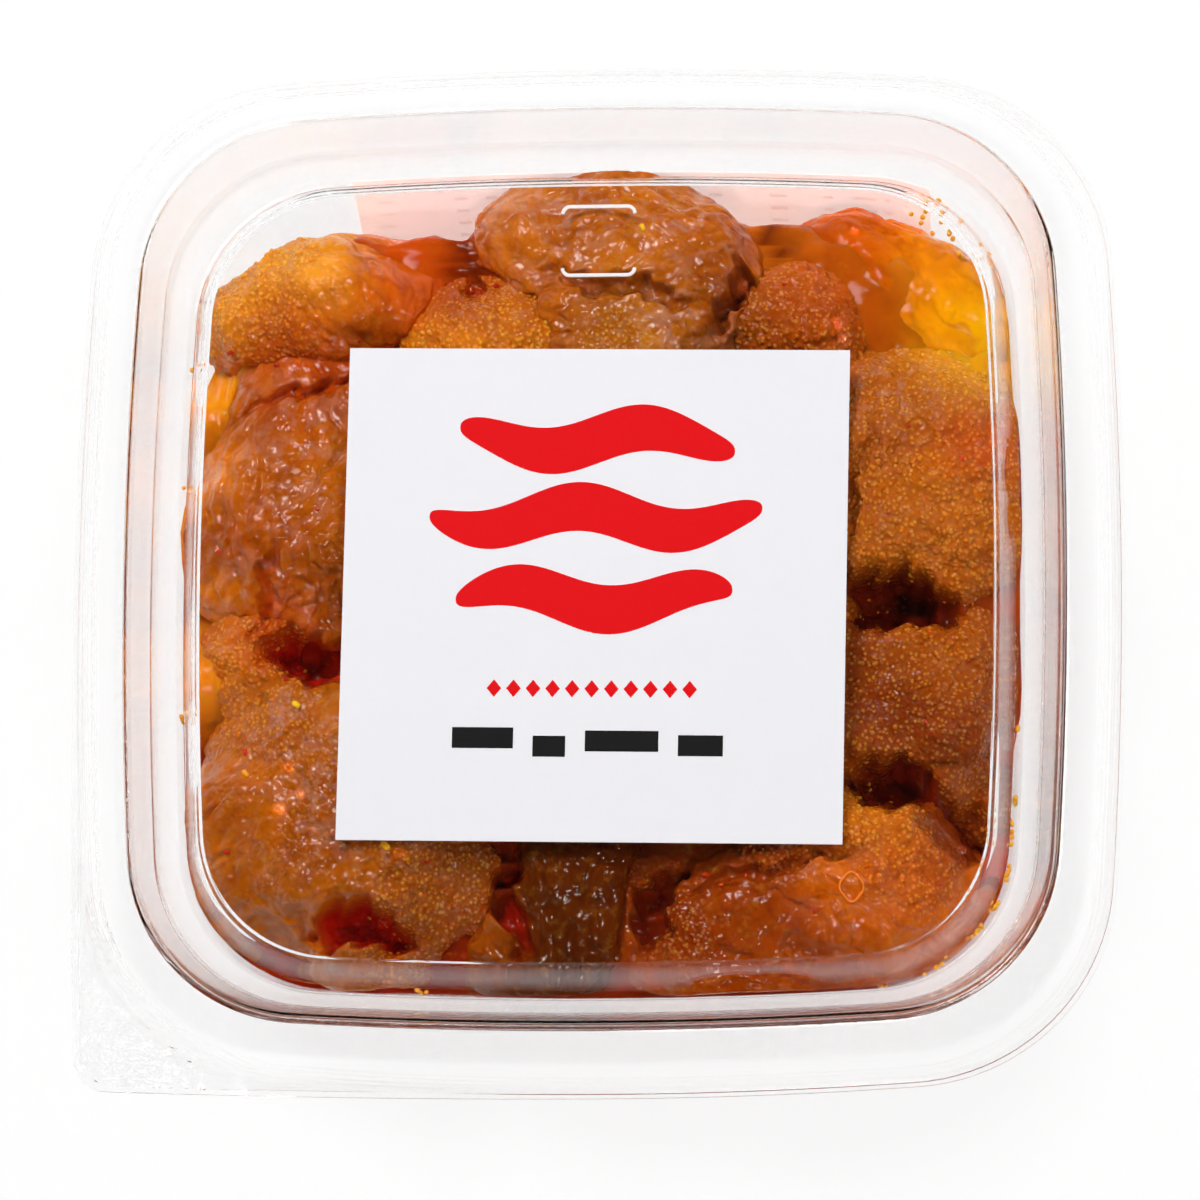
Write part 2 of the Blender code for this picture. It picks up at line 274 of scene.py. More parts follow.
def run_tree(obj, tree, values):
    """Runs a geometry tree on an object and leaves the result as its plain mesh."""
    modifier = obj.modifiers.new("shape", "NODES")
    modifier.node_group = tree
    for item in tree.interface.items_tree:
        if item.in_out == "INPUT" and item.name in values:
            modifier[item.identifier] = values[item.name]
    obj.data = applied(obj, preserve_all_data_layers=True)


# Helpers for meshes

def link(name, data, material=None):
    obj = bpy.data.objects.new(name, data)
    bpy.context.scene.collection.objects.link(obj)
    if material:
        data.materials.clear()
        data.materials.append(material)
    return obj


def mesh_object(name, points, faces, material, smooth=True):
    mesh = bpy.data.meshes.new(name)
    mesh.from_pydata([tuple(p) for p in points], [], faces)
    form = bmesh.new()
    form.from_mesh(mesh)
    bmesh.ops.recalc_face_normals(form, faces=form.faces)
    form.to_mesh(mesh)
    form.free()
    if smooth:
        mesh.shade_smooth()
    return link(name, mesh, material)


def corner_radius(half):
    return RIM_CORNER_RADIUS - (RIM_HALF - half) * CORNER_RADIUS_SLOPE


def corner_centre(half, radius, bow):
    back = bow - half
    return (np.sqrt(2 * (bow - radius) ** 2 - back**2) - back) / 2


def excess(points, half, radius, bow):
    """How far points lie outside a bowed, round-cornered square, and negative inside it."""
    x, y = np.abs(points[:, 0]), np.abs(points[:, 1])
    centre = corner_centre(half, radius, bow)
    turn = np.arctan2(centre, centre + bow - half)
    lean = np.arctan2(y - centre, x - centre)
    in_corner = (x > centre) & (y > centre) & (lean > turn) & (lean < math.pi / 2 - turn)
    corner = np.hypot(x - centre, y - centre) - radius
    side = np.hypot(np.maximum(x, y) + bow - half, np.minimum(x, y)) - bow
    return np.where(in_corner, corner, side)


def quarter(half):
    """The first quadrant of a ring, from the middle of the +X side to just before the +Y side."""
    radius = corner_radius(half)
    centre = corner_centre(half, radius, SIDE_BOW_RADIUS)
    back = SIDE_BOW_RADIUS - half
    turn = math.atan2(centre, centre + back)
    side = turn * np.arange(SIDE_STEPS) / SIDE_STEPS
    points = np.stack([SIDE_BOW_RADIUS * np.cos(side) - back, SIDE_BOW_RADIUS * np.sin(side)], 1)
    angle = turn + (math.pi / 2 - 2 * turn) * np.arange(CORNER_STEPS + 1) / CORNER_STEPS
    corner = np.stack([centre + radius * np.cos(angle), centre + radius * np.sin(angle)], 1)
    return np.concatenate([points, corner, points[1:][::-1, ::-1]])


def tab_quarter(half):
    """The same points moved out along rays to the squarer outline of the tab."""
    radius = corner_radius(half)
    centre = corner_centre(half, radius, SIDE_BOW_RADIUS)
    points = quarter(half)
    start = np.minimum(points, centre)
    step = points - start
    near, far = np.full(len(points), 0.5), np.full(len(points), 3.0)
    for _ in range(40):
        reach = (near + far) / 2
        at = start + step * reach[:, None]
        inside = excess(at, half, TAB_CORNER_RADIUS, TAB_BOW_RADIUS) < 0
        near, far = np.where(inside, reach, near), np.where(inside, far, reach)
    return start + step * near[:, None]


def ring(half, tab=False):
    """One closed ring of plan points, anticlockwise from above, with the tab's corner if tab is set."""
    plain = quarter(half)
    sides = []
    for turns in range(4):
        source = tab_quarter(half) if tab and turns == 2 else plain
        cosine, sine = ((1, 0), (0, 1), (-1, 0), (0, -1))[turns]
        x, y = source[:, 0], source[:, 1]
        sides.append(np.stack([x * cosine - y * sine, x * sine + y * cosine], 1))
    return np.concatenate(sides)


def offset_profile(profile, distance):
    """A profile of (half width, height) rows moved sideways, below and outside it."""
    run = np.diff(profile, axis=0)
    normal = np.stack([run[:, 1], -run[:, 0]], 1)
    normal /= np.linalg.norm(normal, axis=1)[:, None]
    before = np.concatenate([normal[:1], normal])
    after = np.concatenate([normal, normal[-1:]])
    mean = before + after
    mean /= np.linalg.norm(mean, axis=1)[:, None]
    return profile + mean * (distance / np.maximum(0.5, (mean * before).sum(1)))[:, None]


def soften(profile):
    """Rounds the bends of a profile by cutting its corners."""
    for _ in range(2):
        near = profile[:-1] * 0.75 + profile[1:] * 0.25
        far = profile[:-1] * 0.25 + profile[1:] * 0.75
        cut = np.stack([near, far], 1).reshape(-1, 2)
        profile = np.concatenate([profile[:1], cut[1:-1], profile[-1:]])
    return profile


def band(low, high, count):
    """The faces between two closed rows of points."""
    return [(low + i, low + (i + 1) % count, high + (i + 1) % count, high + i) for i in range(count)]


def loft(name, rings, material):
    """A closed shell through rings of plan points at heights, with its first and last ring filled."""
    count = len(rings[0][0])
    points = np.concatenate([np.column_stack([plan, np.full(count, height)]) for plan, height in rings])
    faces = []
    for row in range(len(rings) - 1):
        faces += band(row * count, (row + 1) * count, count)
    faces.append(tuple(range(count)))
    faces.append(tuple(range((len(rings) - 1) * count, len(rings) * count)))
    made = mesh_object(name, points, faces, material)
    made.data.set_sharp_from_angle(angle=math.radians(40))
    return made


# Clear lid and tub

def clear_plastic(name, pebbles):
    """Clear plastic that lets lamps through, with pebbles over the tab where pebbles is set."""
    nodes = Shader(name)
    sockets = {"Base Color": (1.0, 1.0, 1.0, 1.0), "Roughness": 0.02, "IOR": CLEAR_INDEX}
    if pebbles:
        place = nodes.place()
        out = (nodes.part(place, "X") * -1.0 - nodes.part(place, "Y")).ramp(103 * MM, 107 * MM)
        pebble = nodes.noise(place, 1 / PEBBLE).ramp(0.40, 0.60)
        speck = nodes.noise(place, 1 / PEBBLE_SPECK, 1.0)
        sockets["Normal"] = nodes.bump((pebble + speck * 0.4) * out, 0.7, 0.22 * MM)
        sockets["IOR"] = PEBBLED_INDEX
    return nodes.clear(sockets, (0.985, 0.985, 0.985), "Is Shadow Ray", "Is Diffuse Ray")


def clear_shell(name, face, back, lip, material, pebbled):
    """A thin shell of two faces, joined by a flat lip that is pebbled at the tab."""
    top = face[-1][1]
    rings = [(ring(half), height) for half, height in face]
    rings += [(ring(lip, True), top), (ring(lip, True), top - WALL)]
    rings += [(ring(half), max(0.0, height)) for half, height in back[::-1]]
    shell = loft(name, rings, material)
    shell.data.materials.append(pebbled)
    for polygon in shell.data.polygons:
        x, y, z = polygon.center
        flat = abs(polygon.normal.z) > 0.9 and LIP_HEIGHT - 5 * MM < z < LIP_HEIGHT + 0.1 * MM
        if flat and -x - y > 100 * MM:
            polygon.material_index = 1
    return shell


def build_lid(material, pebbled):
    upper = soften(RIM_FACE)
    lid = clear_shell("clear_lid", upper, offset_profile(upper, WALL), RIM_HALF, material, pebbled)
    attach(lid, "root")
    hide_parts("lid")


def tub_inner_steps():
    """The tub's inner face from the edge of the floor up to the lip."""
    seat = offset_profile(RIM_FACE, WALL + FIT_GAP)
    lean = (LEDGE_HALF - BASE_HALF) / LEDGE_HEIGHT
    foot = [
        (BASE_HALF - BASE_FILLET, WALL),
        (BASE_HALF - 0.35 * BASE_FILLET, WALL + 0.25 * BASE_FILLET),
        (BASE_HALF + lean * BASE_FILLET, WALL + BASE_FILLET),
    ]
    ledge = [(LEDGE_HALF, LEDGE_HEIGHT), (seat[5][0] - 0.4 * MM, seat[4][1] - 0.2 * MM)]
    return np.array(foot + ledge + [tuple(point) for point in seat[5:]])


def build_tub(material, pebbled):
    inner = soften(tub_inner_steps())
    outer = offset_profile(inner, WALL)
    outer[0][1] = 0.0
    tub = clear_shell("clear_tub", inner, outer, RIM_HALF - TUB_LIP_INSET, material, pebbled)
    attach(tub, "root")
    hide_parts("tub")


# Moulded mark, labels and print

def strip(name, paths, width, low, high, material):
    """Flat raised bars of one width along open plan paths, as one mesh."""
    points, faces = [], []
    for path in paths:
        path = np.array(path, float)
        run = np.gradient(path, axis=0)
        side = np.stack([-run[:, 1], run[:, 0]], 1)
        side /= np.linalg.norm(side, axis=1)[:, None]
        left, right = path + side * width / 2, path - side * width / 2
        base = len(points)
        for index in range(len(path)):
            for plan, height in ((left, low), (right, low), (right, high), (left, high)):
                points.append((*plan[index], height))
        last = base + 4 * (len(path) - 1)
        for start in range(base, last, 4):
            faces += band(start, start + 4, 4)
        faces += [tuple(range(base, base + 4)), tuple(range(last, last + 4))]
    return mesh_object(name, points, faces, material, smooth=False)


def frosted_plastic_with_painted_highlight():
    # A pale frosted white, partly a painted highlight on the raised bars of the mark.
    nodes = Shader("frosted mark")
    rough = nodes.noise(nodes.place(), 900.0).ramp(0.3, 0.7) * 0.2 + 0.25
    return nodes.opaque({"Base Color": (0.94, 0.92, 0.91, 1.0), "Roughness": rough, "Alpha": 0.75})


def build_mark(material):
    """The raised frame of the moulded mark on the panel, near the back."""
    left, right, foot, top, hook = -4.3 * MM, 4.65 * MM, 37.3 * MM, 46.1 * MM, 0.9 * MM
    angles = np.linspace(0, math.pi / 2, 7)
    upper = [(left + hook - hook * math.cos(a), top - hook + hook * math.sin(a)) for a in angles]
    upper += [(right - hook + hook * math.sin(a), top - hook + hook * math.cos(a)) for a in angles]
    lower = [(x, top + foot - y) for x, y in upper]
    low, high = PANEL_TOP - 0.05 * MM, PANEL_TOP + 0.28 * MM
    mark = strip("moulded_mark", [upper, lower], 0.42 * MM, low, high, material)
    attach(mark, "root")


def paper(name, colour, gloss, bars, painted_glow=0.0):
    """Paper with faint fibres, pale bars where bars is set, and a painted glow of light through the paper
    on its inner side.
    """
    nodes = Shader(name)
    place = nodes.place()
    fibre = nodes.noise(place, 1400.0, 3.0, 0.6)
    cloud = nodes.noise(place, 90.0)
    shade = nodes.mix(fibre * 0.35 + cloud * 0.35, colour, tuple(c * 0.955 for c in colour))
    if bars:
        row = ((nodes.part(place, "Z") / (3.1 * MM)).math("FRACT") - 0.5).size().ramp(0.16, 0.10)
        word = nodes.noise(nodes.vector("MULTIPLY", place, (1.0, 0.0, 0.0)), 260.0, 1.0).ramp(0.5, 0.54)
        marks = row * word * nodes.part(place, "X").ramp(-34 * MM, -24 * MM)
        shade = nodes.mix(marks * 0.35, shade, (0.42, 0.28, 0.26))
    # painted glow: the side that faces into the tub shines in the paper's colour, as if lit through it
    facing = nodes.add("ShaderNodeTexCoord", output="Normal")
    inner = nodes.part(facing, "Y").ramp(0.1, -0.1)
    return nodes.opaque({
        "Base Color": shade,
        "Roughness": gloss,
        "Normal": nodes.bump(fibre, 0.12, 0.05 * MM),
        "Specular IOR Level": 0.2,
        "Emission Color": nodes.mix(inner, (0.0, 0.0, 0.0), shade),
        "Emission Strength": painted_glow,
    })


def ink(name, colour):
    nodes = Shader(name)
    speck = nodes.noise(nodes.place(), 1800.0).ramp(0.35, 0.8)
    shade = nodes.mix(speck * 0.25, colour, tuple(min(1.0, c * 1.1) for c in colour))
    return nodes.opaque({"Base Color": shade, "Roughness": 0.6, "Specular IOR Level": 0.1})


def spin(x, y, angle):
    """Plan coordinates turned about the origin."""
    cosine, sine = math.cos(angle), math.sin(angle)
    return x * cosine - y * sine, x * sine + y * cosine


def on_label(x, y):
    """A point on the lid's label, from mm along its own axes to the frame's metres."""
    right, up = spin(x, y, LABEL_TURN)
    return LABEL_CENTRE[0] + right * MM, LABEL_CENTRE[1] + up * MM


def slab(name, outlines, material):
    """Thin printed shapes on the label: closed outlines in the label's own mm."""
    points, faces = [], []
    for outline in outlines:
        base, count = len(points), len(outline)
        for height in (LABEL_TOP - 0.005 * MM, LABEL_TOP + INK):
            points += [(*on_label(x, y), height) for x, y in outline]
        faces.append(tuple(range(base + count - 1, base - 1, -1)))
        faces.append(tuple(range(base + count, base + 2 * count)))
        faces += band(base, base + count, count)
    made = mesh_object(name, points, faces, material, smooth=False)
    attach(made, "root")


def build_print():
    """A plain design in the label's colours: broad waves, a row of lozenges and bars of uneven length."""
    red, black = ink("red ink", (0.70, 0.0005, 0.003)), ink("black ink", (0.006, 0.006, 0.006))
    waves = []
    for row, (centre, half) in enumerate(((19.5, 17.0), (9.5, 20.5), (-0.5, 17.0))):
        across = -half * np.cos(np.linspace(0, math.pi, 81))
        taper = np.clip(1 - (across / half) ** 2, 0, 1) ** 0.4
        middle = centre + 1.5 * np.sin(across * 0.26 + row * 2.1)
        top, foot = middle + 3.1 * taper, middle - 3.1 * taper
        outline = list(zip(across, top)) + list(zip(across[::-1][1:-1], foot[::-1][1:-1]))
        waves.append(outline[::-1])
    slab("label_waves", waves, red)
    slab("label_lozenges", [
        [(x - 0.9, -11.9), (x, -13.0), (x + 0.9, -11.9), (x, -10.8)] for x in np.arange(-12, 13, 2.4)
    ], red)
    bars, left = [], -17.0
    for width, rise in ((7.5, 0.6), (4.0, -0.4), (9.0, 0.3), (5.5, -0.2)):
        low, high = -20.0 + rise, -17.4 + rise
        bars.append([(left, low), (left + width, low), (left + width, high), (left, high)])
        left += width + 2.4
    slab("label_bars", bars, black)


# Sacs of roe

# Each sac: colour, grain, film, folds in mm, wrinkles' turn in degrees, swell in mm and slot
SACS = {
    "roe_back_middle": ((0.44, 0.12, 0.018), 0.1, 0.45, 1.0, 20, 1.6, "roe_mauve"),
    "roe_back_left": ((0.5, 0.105, 0.006), 0.35, 0.1, 1.5, 60, 2.2, "roe_amber"),
    "roe_back_crumb": ((0.88, 0.33, 0.02), 1.0, 0.05, 0.8, 0, 1.4, "roe_gold"),
    "roe_back_right_lump": ((0.4, 0.096, 0.009), 1.0, 0.15, 0.8, 0, 1.2, "roe_gold"),
    "roe_back_right": ((0.66, 0.125, 0.003), 0.0, 0.0, 0.5, 40, 1.4, "roe_amber"),
    "roe_left_middle": ((0.4, 0.092, 0.008), 0.12, 0.4, 1.0, 95, 2.2, "roe_ochre"),
    "roe_left_crumb": ((0.56, 0.145, 0.01), 0.75, 0.1, 0.8, 0, 1.4, "roe_amber"),
    "roe_middle": ((0.4, 0.11, 0.01), 0.4, 0.2, 1.0, 0, 1.5, "roe_ochre"),
    "roe_right_middle": ((0.55, 0.15, 0.013), 1.0, 0.2, 1.4, 0, 1.8, "roe_gold"),
    "roe_right_front": ((0.34, 0.07, 0.006), 0.95, 0.1, 1.5, 30, 1.8, "roe_gold"),
    "roe_right_crumb": ((0.42, 0.1, 0.008), 1.0, 0.05, 0.8, 0, 1.2, "roe_gold"),
    "roe_front_left": ((0.42, 0.11, 0.007), 0.34, 0.3, 1.3, 150, 1.8, "roe_amber"),
    "roe_front_middle": ((0.1, 0.018, 0.001), 0.05, 0.0, 0.9, 80, 1.2, "roe_olive"),
    "roe_front_right": ((0.36, 0.058, 0.003), 0.25, 0.1, 1.2, 15, 2.0, "roe_amber"),
}

# Where the colour of the sacs turns: x, y and radius in mm, and the colour
TINTS = (
    (-38, 43, 7, 1.0, 0.48, 0.09), (-46, 38, 6, 1.0, 0.46, 0.05), (-40, 32, 5, 0.56, 0.08, 0.003),
    (-36, 24, 6, 0.42, 0.072, 0.004), (-23, 42, 7, 0.6, 0.085, 0.002), (-17, 37, 4, 0.36, 0.03, 0.001),
    (-12, 45, 6, 0.6, 0.18, 0.035), (8, 43, 6, 0.58, 0.17, 0.03), (12, 34, 6, 0.3, 0.07, 0.01),
    (-6, 37, 6, 0.46, 0.12, 0.025), (4, 30, 6, 0.5, 0.19, 0.04), (-43, 6, 5, 0.4, 0.08, 0.007),
    (-40, -6, 4, 0.5, 0.07, 0.004), (-49, 14, 4, 0.85, 0.26, 0.012), (-48, -4, 4, 0.8, 0.24, 0.01),
    (-47, -13, 5, 0.75, 0.24, 0.014), (-37, -18, 6, 0.56, 0.17, 0.02), (-32, 14, 5, 0.46, 0.12, 0.008),
    (-44, -28, 5, 0.5, 0.13, 0.012), (-34, -30, 6, 0.36, 0.085, 0.01), (-22, -38, 7, 0.42, 0.12, 0.01),
    (-16, -44, 5, 0.34, 0.07, 0.004), (46, 31, 7, 1.0, 0.53, 0.003), (42, 41, 5, 0.9, 0.33, 0.012),
    (31, 38, 8, 0.5, 0.08, 0.001), (22, 44, 6, 0.52, 0.11, 0.002), (46, 16, 4, 0.66, 0.09, 0.002),
    (38, 23, 7, 0.46, 0.13, 0.022), (41, 10, 6, 0.64, 0.2, 0.014), (34, 4, 5, 0.5, 0.15, 0.012),
    (36, -16, 6, 0.26, 0.048, 0.004), (42, -9, 5, 0.56, 0.15, 0.01), (44, -23, 5, 0.36, 0.07, 0.004),
    (33, -31, 5, 0.8, 0.29, 0.02), (34, -38, 6, 0.74, 0.17, 0.004), (14, -41, 8, 0.26, 0.04, 0.002),
    (42, -42, 6, 0.68, 0.15, 0.004), (-2, -36, 7, 0.1, 0.017, 0.001),
)

# Places in mm where the sacs turn grainy
GRAINS = (
    ((-17, -40), 8), ((-22, -33), 5), ((32, -31), 6), ((22, -33), 5), ((38, -36), 5), ((10, -43), 5),
    ((-42, 38), 6), ((2, 30), 6), ((-40, -18), 5), ((44, 22), 5),
)

# Places in mm where the face is as smooth as jelly
CALM = (
    ((32, 38), 8), ((44, 33), 8), ((24, 43), 5), ((-23, 42), 6), ((44, 42), 6),
)

# What the sacs' colours are multiplied by
TINT_GAIN = (1.14, 1.04, 0.20)

# The marinade's red with painted shade in the depths, on the right and on the left of the heap
MARINADE_RED_AND_SHADE_RIGHT = np.array((0.13, 0.003, 0.001))
MARINADE_RED_AND_SHADE_LEFT = np.array((0.50, 0.002, 0.001))

# Places in mm where a wet film catches the light, with a coat and a pale colour that is partly a painted
# highlight: centre, radius and strength
FILMS = (
    ((-33, -29), 5, 1.0), ((-26, -33), 4, 0.9), ((-38, -18), 6, 0.8), ((-37, 12), 6, 0.9),
    ((-35, 22), 4, 0.6), ((-43, 0), 5, 0.6), ((9, 32), 6, 0.9), ((-3, 44), 6, 0.7), ((10, 45), 5, 0.7),
    ((36, 24), 7, 0.6), ((30, -40), 5, 0.4), ((-12, 35), 4, 0.6),
)


def turned(nodes, place, angle, stretch):
    """A place turned about Z and stretched, for patterns that run one way."""
    sockets = {"Vector": place, "Angle": angle}
    spun = nodes.add("ShaderNodeVectorRotate", sockets, rotation_type="Z_AXIS")
    return nodes.vector("MULTIPLY", spun, stretch)


def roe_tree():
    """Folds, wrinkles, crumbs and eggs on a sac, pressed flat where it meets the lid."""
    numbers = dict.fromkeys(("Grain", "Folds", "Wrinkle Turn", "Swell", "Lobes"), "Float")
    nodes = Shape("roe face", {"Seed": "Vector", **numbers})
    given = nodes.given
    place = nodes.add("GeometryNodeInputPosition")
    normal = nodes.add("GeometryNodeInputNormal")
    moved = nodes.vector("ADD", place, given["Seed"])
    stir = 1.0 - nodes.weight("calm") * 0.8
    patch = nodes.noise(moved, 110.0, 3.0)
    grain = (patch * 0.9 + given["Grain"] * 1.15 + nodes.weight("grain_spots") * 0.6).ramp(0.82, 1.12)
    smooth = 1.0 - grain
    fold = (nodes.noise(moved, 75.0) - 0.5) * given["Folds"] * 3.0
    warp = nodes.vector("SCALE", nodes.noise(moved, 90.0, 2.0, 0.5, "Color"), Scale=0.012)
    bent = nodes.vector("ADD", moved, warp)
    run = turned(nodes, bent, given["Wrinkle Turn"], (70.0, 210.0, 160.0))
    crease = 1.0 - (nodes.noise(run, 1.0, 2.0, 0.55) * 2.0 - 1.0).size().ramp(0.0, 0.16)
    fine_run = turned(nodes, bent, given["Wrinkle Turn"] + 0.5, (260.0, 900.0, 700.0))
    fine = nodes.noise(fine_run, 1.0, 2.0, 0.5) - 0.5
    lump = nodes.noise(moved, 190.0, 3.0) - 0.5
    crumb = nodes.noise(moved, 300.0, 3.0, 0.65) - 0.5
    far = nodes.cells(moved, 1 / EGG)
    dome = (1.0 - (far / 0.62) ** 2.0).most(0.0) ** 0.5
    lobe = nodes.cells(moved, 1 / (4.2 * MM), "SMOOTH_F1")
    rise = fold + given["Swell"] + (0.35 - lobe) * given["Lobes"]
    rise = rise + lump * stir * 2.0
    rise = rise - crease * smooth * stir * 0.45 + fine * smooth * stir * 0.22
    rise = rise + grain * (crumb * 2.4 + dome * 0.26 - 0.1)
    target = nodes.vector("ADD", place, nodes.vector("SCALE", normal, Scale=rise * MM))
    x, y, z = (nodes.part(target, axis) for axis in "XYZ")
    pressed = nodes.add("ShaderNodeCombineXYZ", {0: x, 1: y, 2: z.least(CONTACT_HEIGHT)})
    shape = nodes.add("GeometryNodeSetPosition", {"Geometry": given["Geometry"], "Position": pressed})
    shape = nodes.store(shape, "grain", grain)
    return nodes.finish(nodes.store(shape, "crease", crease * smooth))


def falls(points, centre, radius):
    """1 at a place in the plan, and less away from it."""
    away = (points[:, 0] - centre[0] * MM) ** 2 + (points[:, 1] - centre[1] * MM) ** 2
    return np.exp(-away / (radius * MM) ** 2)


def blend(points, colour, share, places):
    """A colour with a small share, mixed with those of the places round each point."""
    weight, total = np.full(len(points), share), np.tile(colour, (len(points), 1)) * share
    for x, y, radius, *tint in places:
        here = falls(points, (x, y), radius)
        weight, total = weight + here, total + here[:, None] * np.array(tint)
    return total / weight[:, None]


def coordinates(mesh):
    points = np.zeros(len(mesh.vertices) * 3, np.float32)
    mesh.vertices.foreach_get("co", points)
    return points.reshape(-1, 3).astype(float)


def keep_inside(points):
    """Draws points in to the tub's wall and floor."""
    wall = tub_inner_steps()[:4]
    points[:, 2] = np.maximum(points[:, 2], WALL + WALL_MARGIN)
    half = np.interp(points[:, 2], wall[:, 1], wall[:, 0]) - WALL_MARGIN
    for _ in range(3):
        out = excess(points, half, corner_radius(half), SIDE_BOW_RADIUS)
        length = np.hypot(points[:, 0], points[:, 1])
        points[:, :2] *= (1 - np.maximum(out, 0) / np.maximum(length, MM))[:, None]
    return points


def move(mesh, points):
    """Moves a mesh's points to new places, inside the tub."""
    mesh.vertices.foreach_set("co", keep_inside(points).astype(np.float32).ravel())
    mesh.update()


def paint(mesh, name, colours):
    layer = mesh.attributes.new(name, "FLOAT_COLOR", "POINT")
    solid = np.column_stack([colours, np.ones(len(colours))])
    layer.data.foreach_set("color", solid.astype(np.float32).ravel())


def weigh(mesh, name, values):
    layer = mesh.attributes.new(name, "FLOAT", "POINT")
    layer.data.foreach_set("value", values.astype(np.float32))


def fine_copy(node):
    """A smooth copy of a CAD sac, finer on the upper side that shows."""
    form = bmesh.new()
    form.from_mesh(frame["nodes"][node].data)
    bmesh.ops.remove_doubles(form, verts=form.verts, dist=1e-6)
    mesh = bpy.data.meshes.new(node + "_face")
    form.to_mesh(mesh)
    form.free()
    obj = link(node + "_face", mesh)
    subdivision = obj.modifiers.new("round", "SUBSURF")
    subdivision.levels = subdivision.render_levels = 3
    smooth = applied(obj)
    form = bmesh.new()
    form.from_mesh(smooth)
    top = max(vert.co.z for vert in form.verts)
    shown = [f for f in form.faces if f.normal.z > 0.05 and f.calc_center_median().z > 0.45 * top]
    edges = list({edge for face in shown for edge in face.edges})
    bmesh.ops.subdivide_edges(form, edges=edges, cuts=1, use_grid_fill=True)
    form.to_mesh(smooth)
    form.free()
    smooth.shade_smooth()
    obj.data = smooth
    return obj


def roe_material(name, shine):
    """Wet roe: translucent flesh full of small eggs, painted shade in creases and gaps, a pale wet film
    in places.
    """
    nodes = Shader(name)
    place = nodes.place()
    tint, deep = nodes.painted("tint", "Color"), nodes.painted("deep", "Color")
    grain, crease, film, low, calm = map(nodes.painted, ("grain", "crease", "film", "low", "calm"))
    cloud = nodes.noise(place, 140.0, 2.0, 0.6)
    mottle = nodes.noise(place, 560.0, 3.0, 0.65)
    bead = 1.0 - nodes.cells(place, 1 / EGG).ramp(0.10, 0.70)
    bend = nodes.noise(place, 620.0, 1.0, warp=1.2)
    rough_face = 1.0 - calm
    # flesh: darker and redder in clouds, paler and yellower between them
    shade = nodes.mix(cloud.ramp(0.46, 0.70) * 0.40, tint, nodes.times(tint, (0.55, 0.34, 0.25)))
    gold = nodes.mix(0.5, tint, (0.95, 0.45, 0.04))
    shade = nodes.mix(mottle.ramp(0.52, 0.72) * 0.25 * rough_face, shade, gold)
    shade = nodes.mix(mottle.ramp(0.48, 0.30) * 0.30, shade, nodes.times(tint, (0.50, 0.32, 0.22)))
    # eggs: paler golden tops, and painted shade in the seams between them
    seam_shade = (grain * 0.50 + 0.10) * (1.0 - bead) * rough_face
    shade = nodes.mix(seam_shade, shade, nodes.times(tint, (0.52, 0.30, 0.14)))
    shade = nodes.mix(bead.ramp(0.5, 1.0) * grain * 0.42, shade, nodes.mix(0.5, tint, (1.0, 0.55, 0.10)))
    # painted shade: the creases turn darker
    shade = nodes.mix(crease * 0.4, shade, nodes.times(tint, (0.5, 0.3, 0.2)))
    # the wet film's pale colour, partly a painted highlight, and the marinade's dark red as painted shade
    # low in the gaps
    gloss = film * nodes.noise(place, 420.0, 2.0, 0.6).ramp(0.46, 0.60)
    # painted highlight: the film's pale colour stands partly for light caught on it
    shade = nodes.mix(gloss * 0.20, shade, (0.66, 0.36, 0.26))
    # painted shade: points low in the gaps and wells take the marinade's dark red
    shade = nodes.mix(low, shade, deep)
    rough = mottle.ramp(0.3, 0.7) * 0.05 + 0.05
    wave = nodes.noise(place, 270.0, 1.0, warp=0.8)
    height = wave * 0.8 + bend * (0.26 + film * 0.55) + bead * (grain * 0.42 + 0.08) + mottle * 0.08
    bump = nodes.bump(height * (1.0 - calm * 0.85), 1.0, 0.40 * MM)
    return nodes.fleshy(shade, rough, 1.41, 0.45, (1.0, 0.30, 0.08), 1.5, **{
        "Specular IOR Level": shine,
        "Coat Weight": gloss,
        "Coat Roughness": 0.05,
        "Coat IOR": 1.45,
        "Normal": bump,
    })


def build_roe(material, jelly):
    tree = roe_tree()
    made = []
    for order, (node, (_colour, grain, _film, folds, turn, swell, slot)) in enumerate(SACS.items()):
        sac = fine_copy(node)
        points = coordinates(sac.data)
        for name, places in (("grain_spots", GRAINS), ("calm", CALM)):
            weigh(sac.data, name, np.clip(sum(falls(points, *place) for place in places), 0, 1))
        run_tree(sac, tree, {
            "Seed": (order * 0.37, order * 0.61, order * 0.17),
            "Grain": grain,
            "Folds": folds,
            "Wrinkle Turn": math.radians(turn),
            "Swell": swell,
            "Lobes": 1.0 if node == "roe_back_right" else 0.0,
            "Material": jelly if node == "roe_back_right" else material,
        })
        move(sac.data, coordinates(sac.data))
        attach(sac, "root")
        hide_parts(node)
        made.append(sac)
    return made


def well_depth(points):
    """How far the marinade and the sacs drop in the dark wells."""
    x, y = points[:, 0], points[:, 1]
    depth = np.zeros(len(x))
    stir_x = 0.9 * np.sin(y * 610 + 1) + 0.45 * np.sin(y * 1500 + x * 900)
    stir_x += 0.15 * np.sin(x * 3900 + y * 1700)
    stir_y = 0.7 * np.sin(x * 560 + 2) + 0.40 * np.sin(x * 1650 - y * 800)
    stir_y += 0.15 * np.sin(y * 3500 - x * 2100)
    x, y = x + stir_x * MM, y + stir_y * MM
    for centre, (long, wide), turn, deep in WELLS:
        right, up = spin(x / MM - centre[0], y / MM - centre[1], -math.radians(turn))
        away = (right / long) ** 2 + (up / wide) ** 2
        depth += deep * MM * np.exp(-away**2.2)
    return depth


